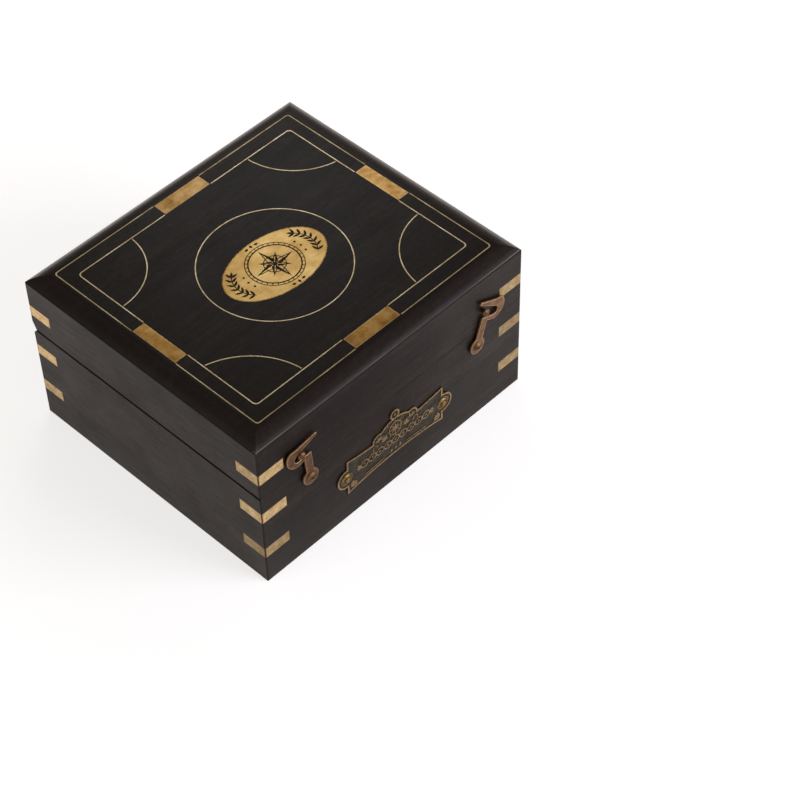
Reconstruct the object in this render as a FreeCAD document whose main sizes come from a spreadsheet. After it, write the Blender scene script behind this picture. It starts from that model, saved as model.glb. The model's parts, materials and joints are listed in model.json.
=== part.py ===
import FreeCAD, Part
import math
import os
import Sketcher

Vector = FreeCAD.Vector
Rotation = FreeCAD.Rotation

# An ebonised hardwood instrument box with a moulded, brass-inlaid lid.
# Millimetres. +X runs along the front from left to right, the front faces -Y, +Z is up,
# and the origin is the centre of the underside.

case_sizes = {
    "box_width": 200.0,
    "box_depth": 180.0,
    "base_height": 68.2,
    "lid_rim_height": 34.7,
    "board_thickness": 11.0,
    "arris_radius": 0.9,
    "seam_radius": 0.45,
    "bottom_thickness": 6.0,
    "bottom_rebate": 5.0,
    "moulding_width": 11.0,
    "moulding_rise": 5.0,
    "moulding_land": 0.6,
    "tongue_depth": 4.0,
    "tongue_clearance": 0.15,
    "overrun": 2.0,
}

bevel_sizes = {
    "bevel_depth": 3.4,
    "base_bevel_height": 3.6,
    "lid_bevel_height": 7.6,
    "bevel_reach_share": 1.5,
}

inlay_sizes = {
    "inlay_thickness": 1.0,
    "line_width": 0.7,
    "line_inset_x": 12.2,
    "line_inset_y": 11.1,
    "line_spacing_x": 8.35,
    "line_spacing_y": 9.7,
    "outer_line_corner": 2.0,
    "inner_line_corner": 2.6,
    "bar_length": 33.2,
    "bar_gap": 0.5,
    "front_bar_shift": 0.35,
    "back_bar_shift": 0.9,
    "side_bar_shift": -0.5,
    "ring_radius": 42.8,
    "medallion_half_length": 33.8,
    "medallion_half_width": 21.3,
    "medallion_shift_x": -1.6,
    "medallion_shift_y": -2.75,
    "strip_height": 7.7,
    "strip_front_length": 17.8,
    "strip_side_length": 16.8,
    "strip_joint": 0.5,
    "lid_strip_rise": 14.7,
    "upper_strip_drop": 15.8,
    "lower_strip_rise": 23.8,
}

# The corner arcs were laid out by hand; a shift moves a centre in from the corner of the inner line.
arc_sizes = {
    "arc_gap": 0.7,
    "front_left_arc_radius": 45.0,
    "front_left_arc_shift_x": -11.0,
    "front_left_arc_shift_y": -4.1,
    "front_right_arc_radius": 40.3,
    "front_right_arc_shift_x": -0.8,
    "front_right_arc_shift_y": -4.1,
    "back_left_arc_radius": 36.3,
    "back_left_arc_shift_x": 1.6,
    "back_left_arc_shift_y": -0.9,
    "back_right_arc_radius": 40.6,
    "back_right_arc_shift_x": -7.2,
    "back_right_arc_shift_y": -1.4,
}

hinge_sizes = {
    "hinge_length": 32.0,
    "hinge_end_inset": 24.0,
    "leaf_depth": 7.0,
    "leaf_thickness": 1.2,
    "leaf_gap": 0.05,
    "leaf_side_clearance": 0.1,
    "knuckle_radius": 2.2,
    "knuckle_clearance": 0.2,
    "knuckle_gap": 0.3,
    "pin_radius": 1.0,
    "pin_clearance": 0.05,
    "hinge_screw_radius": 0.9,
    "hinge_screw_head_radius": 1.6,
    "hinge_screw_length": 7.0,
    "hinge_screw_pitch": 11.0,
    "hinge_screw_inset": 2.7,
    "hinge_slot_width": 0.4,
    "hinge_slot_depth": 0.35,
}

hook_sizes = {
    "left_hook_inset": 34.5,
    "right_hook_inset": 37.2,
    "left_hook_drop": 9.3,
    "right_hook_drop": 10.1,
    "hook_thickness": 1.3,
    "hook_play": 0.05,
    "washer_thickness": 0.6,
    "washer_radius": 3.6,
    "pivot_radius": 1.5,
    "pivot_clearance": 0.08,
    "pivot_head_radius": 3.1,
    "pivot_head_rise": 1.5,
    "pivot_depth": 9.0,
    "pivot_slot_width": 0.6,
    "pivot_slot_depth": 0.5,
    "eye_radius": 5.4,
    "arm_width": 5.2,
    "arm_shift": -0.2,
    "lip_height": 19.05,
    "crescent_radius": 7.8,
    "crescent_x": 6.3,
    "crescent_z": 23.3,
    "throat_radius": 2.6,
    "throat_x": 6.4,
    "throat_z": 21.65,
    "mouth_top_x": 7.1,
    "mouth_top_z": 24.15,
    "beak_x": -7.0,
    "beak_low_z": 28.2,
    "beak_thickness": 2.2,
    "dip_x": 6.5,
    "dip_z": 29.2,
    "horn_x": 10.5,
    "horn_z": 29.5,
    "stud_outward": 6.0,
    "stud_rise": 22.2,
    "stud_neck_radius": 1.2,
    "stud_head_radius": 2.6,
    "stud_head_rise": 1.7,
    "stud_head_gap": 0.3,
    "stud_depth": 7.0,
}

# The right hook is half open and the left one closed, in degrees away from upright.
hook_angles = {
    "right_hook_swing": 19.5,
    "left_hook_swing": 4.5,
}

# The rises are measured from the plate's two lower corners.
plate_sizes = {
    "plate_shift": -1.6,
    "plate_length": 74.4,
    "plate_height": 25.9,
    "plate_waist": 3.4,
    "plate_rise": 19.8,
    "plate_thickness": 0.8,
    "plate_border": 1.0,
    "plate_field_depth": 0.3,
    "ear_radius": 6.9,
    "ear_spacing": 75.2,
    "ear_rise": 12.7,
    "mound_radius": 16.8,
    "mound_rise": 14.8,
    "finial_radius": 3.5,
    "finial_rise": 34.1,
    "lobe_radius": 4.5,
    "lobe_spacing": 25.8,
    "lobe_rise": 23.7,
    "plate_pin_radius": 0.9,
    "plate_pin_head_radius": 3.2,
    "plate_pin_head_rise": 1.4,
    "plate_pin_depth": 6.0,
}

interior_sizes = {
    "lining_thickness": 1.0,
    "floor_lining_thickness": 1.5,
    "lining_rim_drop": 3.0,
    "lid_pad_thickness": 2.0,
    "block_length": 34.0,
    "front_block_length": 46.0,
    "block_depth": 18.0,
    "block_height": 24.0,
    "block_end_gap": 15.0,
    "block_step_depth": 8.0,
    "block_step_height": 9.0,
}

sizes = {}
for group in (case_sizes, bevel_sizes, inlay_sizes, arc_sizes, hinge_sizes, hook_sizes, hook_angles,
              plate_sizes, interior_sizes):
    sizes.update(group)

doc = FreeCAD.newDocument("sextant_box")
sheet = doc.addObject("Spreadsheet::Sheet", "Sizes")
for row, (name, value) in enumerate(sizes.items(), start=1):
    sheet.set("A%d" % row, name)
    sheet.set("B%d" % row, str(value))
    sheet.setAlias("B%d" % row, name)
doc.recompute()

# Places that several pieces share, as expressions on the sheet.
half_width = "Sizes.box_width / 2"
half_depth = "Sizes.box_depth / 2"
seam = "Sizes.base_height"
rim_top = "(Sizes.base_height + Sizes.lid_rim_height)"
slab_height = "(Sizes.moulding_land + Sizes.moulding_rise)"
lid_top = "(Sizes.base_height + Sizes.lid_rim_height + Sizes.moulding_land + Sizes.moulding_rise)"
inner_half_width = "(Sizes.box_width / 2 - Sizes.board_thickness)"
inner_half_depth = "(Sizes.box_depth / 2 - Sizes.board_thickness)"
hinge_y = "(Sizes.box_depth / 2 - Sizes.bevel_depth)"
front_y = "(-Sizes.box_depth / 2)"
over = "Sizes.overrun"

sides = {"left": -1, "right": 1}
corners = {"front_left": (-1, -1), "front_right": (1, -1), "back_left": (-1, 1), "back_right": (1, 1)}
nodes = []

along_x = Rotation(Vector(0, 1, 0), 90)
outward = Rotation(Vector(1, 0, 0), 90)
upright = Rotation()
downward = Rotation(Vector(1, 0, 0), 180)


def bind(item, values):
    for path, expression in values.items():
        item.setExpression(path, expression)
    return item


def place(item, x, y, z, rotation=upright):
    item.Placement = FreeCAD.Placement(Vector(0, 0, 0), rotation)
    return bind(item, {"Placement.Base.x": x, "Placement.Base.y": y, "Placement.Base.z": z})


def box(name, length, width, height, x, y, z, rotation=upright):
    item = doc.addObject("Part::Box", name)
    bind(item, {"Length": length, "Width": width, "Height": height})
    return place(item, x, y, z, rotation)


def centred_box(name, length, width, height, x, y, z):
    """A box whose middle in X and Y is at x, y and whose underside is at z."""
    return box(name, length, width, height, "%s - (%s) / 2" % (x, length), "%s - (%s) / 2" % (y, width), z)


def cylinder(name, radius, height, x, y, z, rotation=upright):
    item = doc.addObject("Part::Cylinder", name)
    bind(item, {"Radius": radius, "Height": height})
    return place(item, x, y, z, rotation)


def cone(name, low_radius, high_radius, height, x, y, z, rotation=upright):
    item = doc.addObject("Part::Cone", name)
    bind(item, {"Radius1": low_radius, "Radius2": high_radius, "Height": height})
    return place(item, x, y, z, rotation)


def fuse(name, parts):
    if len(parts) == 1:
        return parts[0]
    item = doc.addObject("Part::MultiFuse", name)
    item.Shapes = parts
    return item


def cut(name, base, tools):
    item = doc.addObject("Part::Cut", name)
    item.Base = base
    item.Tool = fuse(name + "_tools", tools)
    return item


def common(name, first, second):
    item = doc.addObject("Part::Common", name)
    item.Base = first
    item.Tool = second
    return item


def node(name, item):
    item.Label = name
    nodes.append(item)
    return item


def eased_box(name, length, width, height, z, radius, picks):
    """A centred box in a body of its own, with the edges that picks(edge) accepts rounded."""
    body = doc.addObject("PartDesign::Body", name)
    block = doc.addObject("PartDesign::AdditiveBox", name + "_block")
    body.addObject(block)
    bind(block, {"Length": length, "Width": width, "Height": height})
    doc.recompute()
    chosen = [i for i, edge in enumerate(block.Shape.Edges, start=1) if picks(edge)]
    rounding = doc.addObject("PartDesign::Fillet", name + "_rounding")
    body.addObject(rounding)
    rounding.Base = (block, ["Edge%d" % i for i in chosen])
    bind(rounding, {"Radius": radius})
    return place(body, "-(%s) / 2" % length, "-(%s) / 2" % width, z)


def is_upright(edge):
    heights = [vertex.Z for vertex in edge.Vertexes]
    return max(heights) > min(heights)


def is_level(edge):
    return not is_upright(edge)


def is_low(edge):
    return max(vertex.Z for vertex in edge.Vertexes) <= 0


def outline_pad(name, plane, points, length, x, y, z):
    """A straight-sided outline, its corners bound to the sheet, padded to a length."""
    body = doc.addObject("PartDesign::Body", name)
    sketch = body.newObject("Sketcher::SketchObject", name + "_outline")
    planes = [item for item in body.Origin.OriginFeatures if item.Role == plane]
    sketch.AttachmentSupport = [(planes[0], "")]
    sketch.MapMode = "FlatFace"
    values = [(sheet_value(across), sheet_value(up)) for across, up in points]
    count = len(points)
    for i in range(count):
        start = Vector(*values[i], 0)
        end = Vector(*values[(i + 1) % count], 0)
        sketch.addGeometry(Part.LineSegment(start, end), False)
    for i in range(count):
        sketch.addConstraint(Sketcher.Constraint("Coincident", i, 2, (i + 1) % count, 1))
    for i in range(count):
        for kind, value, expression in zip(("DistanceX", "DistanceY"), values[i], points[i]):
            index = sketch.addConstraint(Sketcher.Constraint(kind, -1, 1, i, 1, value))
            sketch.setExpression("Constraints[%d]" % index, expression)
    pad = body.newObject("PartDesign::Pad", name + "_pad")
    pad.Profile = sketch
    bind(pad, {"Length": length})
    return place(body, x, y, z)


def sheet_value(expression):
    """The number that an expression on the sheet has now."""
    return float(sheet.evalExpression(expression))


def dome_head(name, radius, rise, x, y, z):
    """A round head on the front: its flat underside at y, its crown towards -Y."""
    crown = doc.addObject("Part::Sphere", name + "_crown")
    crown_radius = "((%s)^2 + (%s)^2) / (2 * %s)" % (radius, rise, rise)
    bind(crown, {"Radius": crown_radius})
    place(crown, x, "%s - %s + %s" % (y, rise, crown_radius), z)
    return common(name, crown, cylinder(name + "_rim", radius, rise, x, y, z, outward))


# Case blanks: the eased outer forms that every board and inlay is trimmed to.
def case_blank(name, height, z, level_picks):
    """Upright arrises rounded to one radius, the level ones that are picked to a smaller one."""
    width = "Sizes.box_width"
    depth = "Sizes.box_depth"
    upright_blank = eased_box(name + "_uprights", width, depth, height, z, "Sizes.arris_radius", is_upright)
    level_blank = eased_box(name + "_levels", width, depth, height, z, "Sizes.seam_radius", level_picks)
    return common(name, upright_blank, level_blank)


base_blank = case_blank("base_blank", seam, "0", is_level)
lid_blank = case_blank("lid_blank", "%s - %s" % (lid_top, seam), seam, is_low)

# The two bevels along the back that meet when the lid is open and stop it.
bevel_out = "%s + Sizes.bevel_depth * Sizes.bevel_reach_share" % hinge_y
base_bevel = outline_pad("base_bevel", "YZ_Plane", [
    (hinge_y, seam),
    (bevel_out, "%s - Sizes.base_bevel_height * Sizes.bevel_reach_share" % seam),
    (bevel_out, "%s + %s" % (seam, over)),
    (hinge_y, "%s + %s" % (seam, over)),
], "Sizes.box_width + 2 * %s" % over, "-%s - %s" % (half_width, over), "0", "0")
lid_bevel = outline_pad("lid_bevel", "YZ_Plane", [
    (hinge_y, seam),
    (hinge_y, "%s - %s" % (seam, over)),
    (bevel_out, "%s - %s" % (seam, over)),
    (bevel_out, "%s + Sizes.lid_bevel_height * Sizes.bevel_reach_share" % seam),
], "Sizes.box_width + 2 * %s" % over, "-%s - %s" % (half_width, over), "0", "0")


def corner_strip_blanks(name, sx, sy, level):
    """One L of brass round a corner: a front or back strip and a side strip."""
    across = box(name + "_across", "Sizes.strip_front_length", "Sizes.inlay_thickness", "Sizes.strip_height",
                 "%d * %s - (%d + 1) / 2 * Sizes.strip_front_length" % (sx, half_width, sx),
                 "%d * %s - (%d + 1) / 2 * Sizes.inlay_thickness" % (sy, half_depth, sy),
                 "%s - Sizes.strip_height / 2" % level)
    along = box(name + "_along", "Sizes.inlay_thickness", "Sizes.strip_side_length", "Sizes.strip_height",
                "%d * %s - (%d + 1) / 2 * Sizes.inlay_thickness" % (sx, half_width, sx),
                "%d * %s - (%d + 1) / 2 * Sizes.strip_side_length" % (sy, half_depth, sy),
                "%s - Sizes.strip_height / 2" % level)
    return fuse(name, [across, along])


def corner_inlay(name, blank, sx, sy, levels):
    """The brass strips of one corner, mitred with a fine open joint at the arris."""
    blanks = []
    for i, level in enumerate(levels):
        blanks.append(corner_strip_blanks("%s_strip_%d" % (name, i), sx, sy, level))
    pocket = fuse(name + "_pocket", blanks)
    trimmed = common(name + "_trimmed", pocket, blank)
    joint_length = "Sizes.strip_joint + 2 * Sizes.inlay_thickness"
    joint = box(name + "_joint", joint_length, "Sizes.strip_joint", lid_top,
                "%d * %s" % (sx, half_width), "%d * %s" % (sy, half_depth), "0")
    angle = math.degrees(math.atan2(-sy, -sx))
    joint.Placement = FreeCAD.Placement(Vector(0, 0, 0), Rotation(Vector(0, 0, 1), angle))
    lean_x = -math.sin(math.radians(angle))
    lean_y = math.cos(math.radians(angle))
    bind(joint, {
        "Placement.Base.x": "%d * %s - %s * Sizes.strip_joint / 2" % (sx, half_width, lean_x),
        "Placement.Base.y": "%d * %s - %s * Sizes.strip_joint / 2" % (sy, half_depth, lean_y),
    })
    node(name, cut(name + "_strips", trimmed, [joint]))
    return pocket


base_levels = ["(%s - Sizes.upper_strip_drop)" % seam, "Sizes.lower_strip_rise"]
lid_levels = ["(%s + Sizes.lid_strip_rise)" % seam]
base_pockets = {}
lid_pockets = {}
for corner, (sx, sy) in corners.items():
    base_pockets[corner] = corner_inlay("base_corner_inlay_" + corner, base_blank, sx, sy, base_levels)
    lid_pockets[corner] = corner_inlay("lid_corner_inlay_" + corner, lid_blank, sx, sy, lid_levels)

# Hinges in the back boards, their pins on the line where the two bevels meet.
hinge_tools = {"base": [], "lid": []}
screw_groups = {"base": [], "lid": []}
third = "Sizes.hinge_length / 3"


def hinge_screw(name, x, way, seat):
    """A countersunk screw into a seam face: way is -1 down into the base and 1 up into the lid."""
    turn = downward if way < 0 else upright
    y = "%s - Sizes.leaf_depth + Sizes.hinge_screw_inset" % hinge_y
    head = cone(name + "_head", "Sizes.hinge_screw_head_radius", "Sizes.hinge_screw_radius",
                "Sizes.leaf_thickness", x, y, seat, turn)
    shank = cylinder(name + "_shank", "Sizes.hinge_screw_radius", "Sizes.hinge_screw_length",
                     x, y, seat, turn)
    slot = centred_box(name + "_slot", "2 * Sizes.hinge_screw_head_radius", "Sizes.hinge_slot_width",
                       "Sizes.hinge_slot_depth", x, y,
                       seat if way > 0 else "%s - Sizes.hinge_slot_depth" % seat)
    whole = fuse(name + "_blank", [head, shank])
    return whole, cut(name, whole, [slot])


def knuckle(name, radius, low, high):
    return cylinder(name, radius, "(%s) - (%s)" % (high, low), low, hinge_y, seam, along_x)


def hinge(side, sign):
    centre = "(%d * (%s - Sizes.hinge_end_inset - Sizes.hinge_length / 2))" % (sign, half_width)
    near = "%s - Sizes.hinge_length / 2" % centre
    far = "%s + Sizes.hinge_length / 2" % centre
    low_cut = "%s - Sizes.hinge_length / 6" % centre
    high_cut = "%s + Sizes.hinge_length / 6" % centre
    outer_ends = [(near, low_cut + " - Sizes.knuckle_gap / 2"), (high_cut + " + Sizes.knuckle_gap / 2", far)]
    middle_ends = [(low_cut + " + Sizes.knuckle_gap / 2", high_cut + " - Sizes.knuckle_gap / 2")]
    outer_room = [("%s - %s" % (near, over), low_cut + " + Sizes.knuckle_gap / 2"),
                  (high_cut + " - Sizes.knuckle_gap / 2", "%s + %s" % (far, over))]
    middle_room = [(low_cut + " - Sizes.knuckle_gap / 2", high_cut + " + Sizes.knuckle_gap / 2")]
    clear = "Sizes.knuckle_radius + Sizes.knuckle_clearance"
    leaf_y = "%s - Sizes.leaf_depth / 2" % hinge_y
    bore = knuckle("hinge_bore_" + side, "Sizes.pin_radius + Sizes.pin_clearance",
                   "%s - %s" % (near, over), "%s + %s" % (far, over))
    for part, way in (("base", -1), ("lid", 1)):
        name = "hinge_%s_leaf_%s" % (part, side)
        leaf_low = "%s + Sizes.leaf_gap" % seam
        mortise_low = seam
        if part == "base":
            leaf_low = "%s - Sizes.leaf_gap - Sizes.leaf_thickness" % seam
            mortise_low = leaf_low
        seat = "%s + %d * Sizes.leaf_gap" % (seam, way)
        leaf = centred_box(name + "_plate", "Sizes.hinge_length", "Sizes.leaf_depth", "Sizes.leaf_thickness",
                           centre, leaf_y, leaf_low)
        own, room = (outer_ends, middle_room) if part == "base" else (middle_ends, outer_room)
        barrels = []
        for i, ends in enumerate(own):
            barrels.append(knuckle("%s_barrel_%d" % (name, i), "Sizes.knuckle_radius", *ends))
        reliefs = []
        for i, ends in enumerate(room):
            reliefs.append(knuckle("%s_relief_%d" % (name, i), clear, *ends))
        relieved = cut(name + "_relieved", leaf, reliefs)
        holes = []
        for i in (-1, 0, 1):
            whole, screw = hinge_screw("%s_screw_%d" % (name, i + 1),
                                       "%s + %d * Sizes.hinge_screw_pitch" % (centre, i), way, seat)
            holes.append(whole)
            screw_groups[part].append(screw)
        node(name, cut(name + "_drilled", fuse(name + "_blank", [relieved] + barrels), [bore] + holes))
        mortise = box(name + "_mortise", "Sizes.hinge_length + 2 * Sizes.leaf_side_clearance",
                      "Sizes.leaf_depth + Sizes.leaf_side_clearance", "Sizes.leaf_gap + Sizes.leaf_thickness",
                      "%s - Sizes.leaf_side_clearance" % near,
                      "%s - Sizes.leaf_depth - Sizes.leaf_side_clearance" % hinge_y, mortise_low)
        groove = knuckle(name + "_groove", clear, "%s - Sizes.knuckle_gap" % near,
                         "%s + Sizes.knuckle_gap" % far)
        hinge_tools[part] += [mortise, groove] + holes
    node("hinge_pin_" + side, knuckle("hinge_pin_" + side, "Sizes.pin_radius", near, far))


for side, sign in sides.items():
    hinge(side, sign)
for part in ("base", "lid"):
    node("hinge_%s_screws" % part, fuse("hinge_%s_screw_group" % part, screw_groups[part]))

# Swing hooks on the front of the base, their studs on the lid.
hook_back = "%s - Sizes.washer_thickness - Sizes.hook_play" % front_y
head_seat = "%s - Sizes.hook_thickness - Sizes.hook_play" % hook_back
stud_seat = "%s - Sizes.hook_thickness - Sizes.stud_head_gap" % hook_back
hook_holes = {"base": [], "lid": []}


def hook_blank(name):
    """A right-hand hook stood on end: its eye on the origin and its arm up +Z, its back on y = 0."""
    thickness = "Sizes.hook_thickness"
    eye = cylinder(name + "_eye", "Sizes.eye_radius", thickness, "0", "0", "0", outward)
    arm = box(name + "_arm", "Sizes.arm_width", thickness, "Sizes.lip_height",
              "Sizes.arm_shift - Sizes.arm_width / 2", "-%s" % thickness, "0")
    crescent = cylinder(name + "_crescent", "Sizes.crescent_radius", thickness,
                        "Sizes.crescent_x", "0", "Sizes.crescent_z", outward)
    beak_top = "Sizes.beak_low_z + Sizes.beak_thickness"
    beak = outline_pad(name + "_beak", "XZ_Plane", [
        ("Sizes.beak_x", "Sizes.beak_low_z"),
        ("Sizes.mouth_top_x", "Sizes.mouth_top_z"),
        ("Sizes.horn_x", "Sizes.mouth_top_z"),
        ("Sizes.horn_x", "Sizes.horn_z"),
        ("Sizes.dip_x", "Sizes.dip_z"),
        ("Sizes.beak_x", beak_top),
    ], thickness, "0", "0", "0")
    crown = "Sizes.crescent_z + Sizes.crescent_radius + %s" % over
    trim = outline_pad(name + "_trim", "XZ_Plane", [
        ("Sizes.beak_x", beak_top),
        ("Sizes.dip_x", "Sizes.dip_z"),
        ("Sizes.horn_x", "Sizes.horn_z"),
        ("Sizes.crescent_x + Sizes.crescent_radius", "Sizes.horn_z"),
        ("Sizes.crescent_x + Sizes.crescent_radius", crown),
        ("Sizes.beak_x", crown),
    ], thickness, "0", "0", "0")
    mouth = outline_pad(name + "_mouth", "XZ_Plane", [
        ("Sizes.throat_x", "Sizes.throat_z - Sizes.throat_radius"),
        ("Sizes.mouth_top_x", "Sizes.mouth_top_z"),
        ("Sizes.beak_x", "Sizes.beak_low_z"),
        ("Sizes.beak_x - Sizes.throat_radius", "Sizes.beak_low_z"),
        ("Sizes.beak_x - Sizes.throat_radius", "Sizes.throat_z - Sizes.throat_radius"),
    ], thickness, "0", "0", "0")
    throat = cylinder(name + "_throat", "Sizes.throat_radius", thickness,
                      "Sizes.throat_x", "0", "Sizes.throat_z", outward)
    pivot_hole = cylinder(name + "_pivot_hole", "Sizes.pivot_radius + Sizes.pivot_clearance", thickness,
                          "0", "0", "0", outward)
    nose = cylinder(name + "_nose", "Sizes.beak_thickness / 2", thickness,
                    "Sizes.beak_x", "0", "Sizes.beak_low_z + Sizes.beak_thickness / 2", outward)
    forms = fuse(name + "_forms", [eye, arm, crescent, beak])
    plate = cut(name + "_plate", forms, [trim, mouth, throat, pivot_hole])
    return fuse(name, [plate, nose])


hook_form = hook_blank("hook_form")
for side, sign in sides.items():
    pivot_x = "%d * (%s - Sizes.%s_hook_inset)" % (sign, half_width, side)
    pivot_z = "(%s - Sizes.%s_hook_drop)" % (seam, side)
    stud_x = "%s + %d * Sizes.stud_outward" % (pivot_x, sign)
    stud_z = "(%s + Sizes.stud_rise)" % pivot_z
    if sign > 0:
        hook = doc.addObject("Part::Compound", "hook_right_form")
        hook.Links = [hook_form]
    else:
        hook = doc.addObject("Part::Mirroring", "hook_left_form")
        hook.Source = hook_form
        hook.Normal = Vector(1, 0, 0)
    place(hook, pivot_x, hook_back, pivot_z, Rotation(Vector(0, sign, 0), sizes[side + "_hook_swing"]))
    bind(hook, {"Placement.Rotation.Angle": "Sizes.%s_hook_swing" % side})
    node("hook_" + side, hook)

    shank_length = "(%s + Sizes.pivot_depth) - (%s)" % (front_y, head_seat)
    shank = cylinder("pivot_shank_" + side, "Sizes.pivot_radius", shank_length,
                     pivot_x, "%s + Sizes.pivot_depth" % front_y, pivot_z, outward)
    head = dome_head("pivot_head_" + side, "Sizes.pivot_head_radius", "Sizes.pivot_head_rise",
                     pivot_x, head_seat, pivot_z)
    slot = centred_box("pivot_slot_" + side, "2 * Sizes.pivot_head_radius", "2 * Sizes.pivot_slot_depth",
                       "Sizes.pivot_slot_width", pivot_x, "%s - Sizes.pivot_head_rise" % head_seat,
                       "%s - Sizes.pivot_slot_width / 2" % pivot_z)
    pivot_blank = fuse("pivot_blank_" + side, [shank, head])
    node("hook_pivot_screw_" + side, cut("pivot_screw_" + side, pivot_blank, [slot]))
    disc = cylinder("washer_disc_" + side, "Sizes.washer_radius", "Sizes.washer_thickness",
                    pivot_x, front_y, pivot_z, outward)
    node("hook_washer_" + side, cut("washer_" + side, disc, [shank]))
    hook_holes["base"].append(shank)

    neck_length = "(%s + Sizes.stud_depth) - (%s)" % (front_y, stud_seat)
    neck = cylinder("stud_neck_" + side, "Sizes.stud_neck_radius", neck_length,
                    stud_x, "%s + Sizes.stud_depth" % front_y, stud_z, outward)
    knob = dome_head("stud_head_" + side, "Sizes.stud_head_radius", "Sizes.stud_head_rise",
                     stud_x, stud_seat, stud_z)
    node("hook_stud_" + side, fuse("stud_" + side, [neck, knob]))
    hook_holes["lid"].append(neck)


# The shaped brass plate on the front, with a raised border round a sunk field.
def plate_outline(name, margin, y, thickness):
    """A waisted panel with an ear at each end and a mound, two lobes and a finial along its top."""
    middle = "Sizes.plate_shift"
    low = "Sizes.plate_rise"
    high = "(Sizes.plate_rise + Sizes.plate_height)"
    back = "%s - (%s)" % (y, thickness)
    panel = box(name + "_panel", "Sizes.plate_length - 2 * %s" % margin, thickness, "Sizes.plate_height",
                "%s - Sizes.plate_length / 2 + %s" % (middle, margin), back, low)
    sweep = "(((Sizes.plate_length / 2)^2 + Sizes.plate_waist^2) / (2 * Sizes.plate_waist))"
    hollows = []
    for label, z in (("top", "%s - Sizes.plate_waist + %s" % (high, sweep)),
                     ("bottom", "%s + Sizes.plate_waist - %s" % (low, sweep))):
        hollows.append(cylinder("%s_%s" % (name, label), "%s + %s" % (sweep, margin), thickness,
                                middle, y, z, outward))
    rounds = [("finial", "Sizes.finial_radius", "0", "Sizes.finial_rise")]
    for side, sign in sides.items():
        rounds.append(("ear_" + side, "Sizes.ear_radius", "%d * Sizes.ear_spacing / 2" % sign, "Sizes.ear_rise"))
        rounds.append(("lobe_" + side, "Sizes.lobe_radius", "%d * Sizes.lobe_spacing / 2" % sign,
                       "Sizes.lobe_rise"))
    forms = [cut(name + "_waisted", panel, hollows)]
    for label, radius, x, rise in rounds:
        forms.append(cylinder("%s_%s" % (name, label), "%s - %s" % (radius, margin), thickness,
                              "%s + %s" % (middle, x), y, "%s + %s" % (low, rise), outward))
    disc = cylinder(name + "_mound", "Sizes.mound_radius - %s" % margin, thickness,
                    middle, y, "%s + Sizes.mound_rise" % low, outward)
    upper = box(name + "_upper", "2 * Sizes.mound_radius", thickness, "Sizes.mound_radius",
                "%s - Sizes.mound_radius" % middle, back, "%s + Sizes.mound_rise" % low)
    forms.append(common(name + "_mound_top", disc, upper))
    return fuse(name, forms)


plate_front = "%s - Sizes.plate_thickness" % front_y
field_floor = "%s + Sizes.plate_field_depth" % plate_front
plate_blank = plate_outline("plate_blank", "0", front_y, "Sizes.plate_thickness")
plate_field = plate_outline("plate_field", "Sizes.plate_border", field_floor,
                            "Sizes.plate_field_depth + %s" % over)
pin_shanks = []
pins = []
for side, sign in sides.items():
    pin_x = "Sizes.plate_shift + %d * Sizes.ear_spacing / 2" % sign
    pin_z = "Sizes.plate_rise + Sizes.ear_rise"
    pin_length = "(%s + Sizes.plate_pin_depth) - (%s)" % (front_y, field_floor)
    shank = cylinder("plate_pin_shank_" + side, "Sizes.plate_pin_radius", pin_length,
                     pin_x, "%s + Sizes.plate_pin_depth" % front_y, pin_z, outward)
    head = dome_head("plate_pin_head_" + side, "Sizes.plate_pin_head_radius", "Sizes.plate_pin_head_rise",
                     pin_x, field_floor, pin_z)
    pin_shanks.append(shank)
    pins += [shank, head]
node("nameplate", cut("plate", plate_blank, [plate_field] + pin_shanks))
node("nameplate_pins", fuse("plate_pins", pins))

# Mitred boards of the base and of the lid frame.
board_layout = {
    "front": ("Sizes.box_width", "-" + half_width, "-" + half_depth, 0, ("front_left", "front_right")),
    "right": ("Sizes.box_depth", half_width, "-" + half_depth, 90, ("front_right", "back_right")),
    "back": ("Sizes.box_width", half_width, half_depth, 180, ("back_left", "back_right")),
    "left": ("Sizes.box_depth", "-" + half_width, half_depth, 270, ("front_left", "back_left")),
}
bottom_seat = centred_box("bottom_seat", "2 * %s + 2 * Sizes.bottom_rebate" % inner_half_width,
                          "2 * %s + 2 * Sizes.bottom_rebate" % inner_half_depth,
                          "Sizes.bottom_thickness", "0", "0", "0")


def mitred_board(name, part, face, z, height, blank, tools):
    length, x, y, turn, _ = board_layout[face]
    board = doc.addObject("Part::Wedge", name + "_blank")
    bind(board, {
        "Xmin": "0", "Xmax": length, "Zmin": "0", "Zmax": height,
        "Ymin": "0", "Ymax": "Sizes.board_thickness",
        "X2min": "Sizes.board_thickness", "X2max": "%s - Sizes.board_thickness" % length,
        "Z2min": "0", "Z2max": height,
    })
    place(board, x, y, z, Rotation(Vector(0, 0, 1), turn))
    node(name, cut(name + "_cut", common(name + "_eased", board, blank), tools))


for face, (_, _, _, _, ends) in board_layout.items():
    base_tools = [bottom_seat] + [base_pockets[corner] for corner in ends]
    lid_tools = [lid_pockets[corner] for corner in ends]
    if face != "front":
        base_tools.append(base_bevel)
        lid_tools.append(lid_bevel)
    if face == "back":
        base_tools += hinge_tools["base"]
        lid_tools += hinge_tools["lid"]
    if face == "front":
        base_tools += hook_holes["base"] + pin_shanks
        lid_tools += hook_holes["lid"]
    mitred_board("base_%s_board" % face, "base", face, "0", seam, base_blank, base_tools)
    mitred_board("lid_%s_board" % face, "lid", face, seam, "Sizes.lid_rim_height", lid_blank, lid_tools)

node("base_bottom_panel", centred_box("bottom_panel", "2 * %s + 2 * Sizes.bottom_rebate" % inner_half_width,
                                      "2 * %s + 2 * Sizes.bottom_rebate" % inner_half_depth,
                                      "Sizes.bottom_thickness", "0", "0", "0"))

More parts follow.
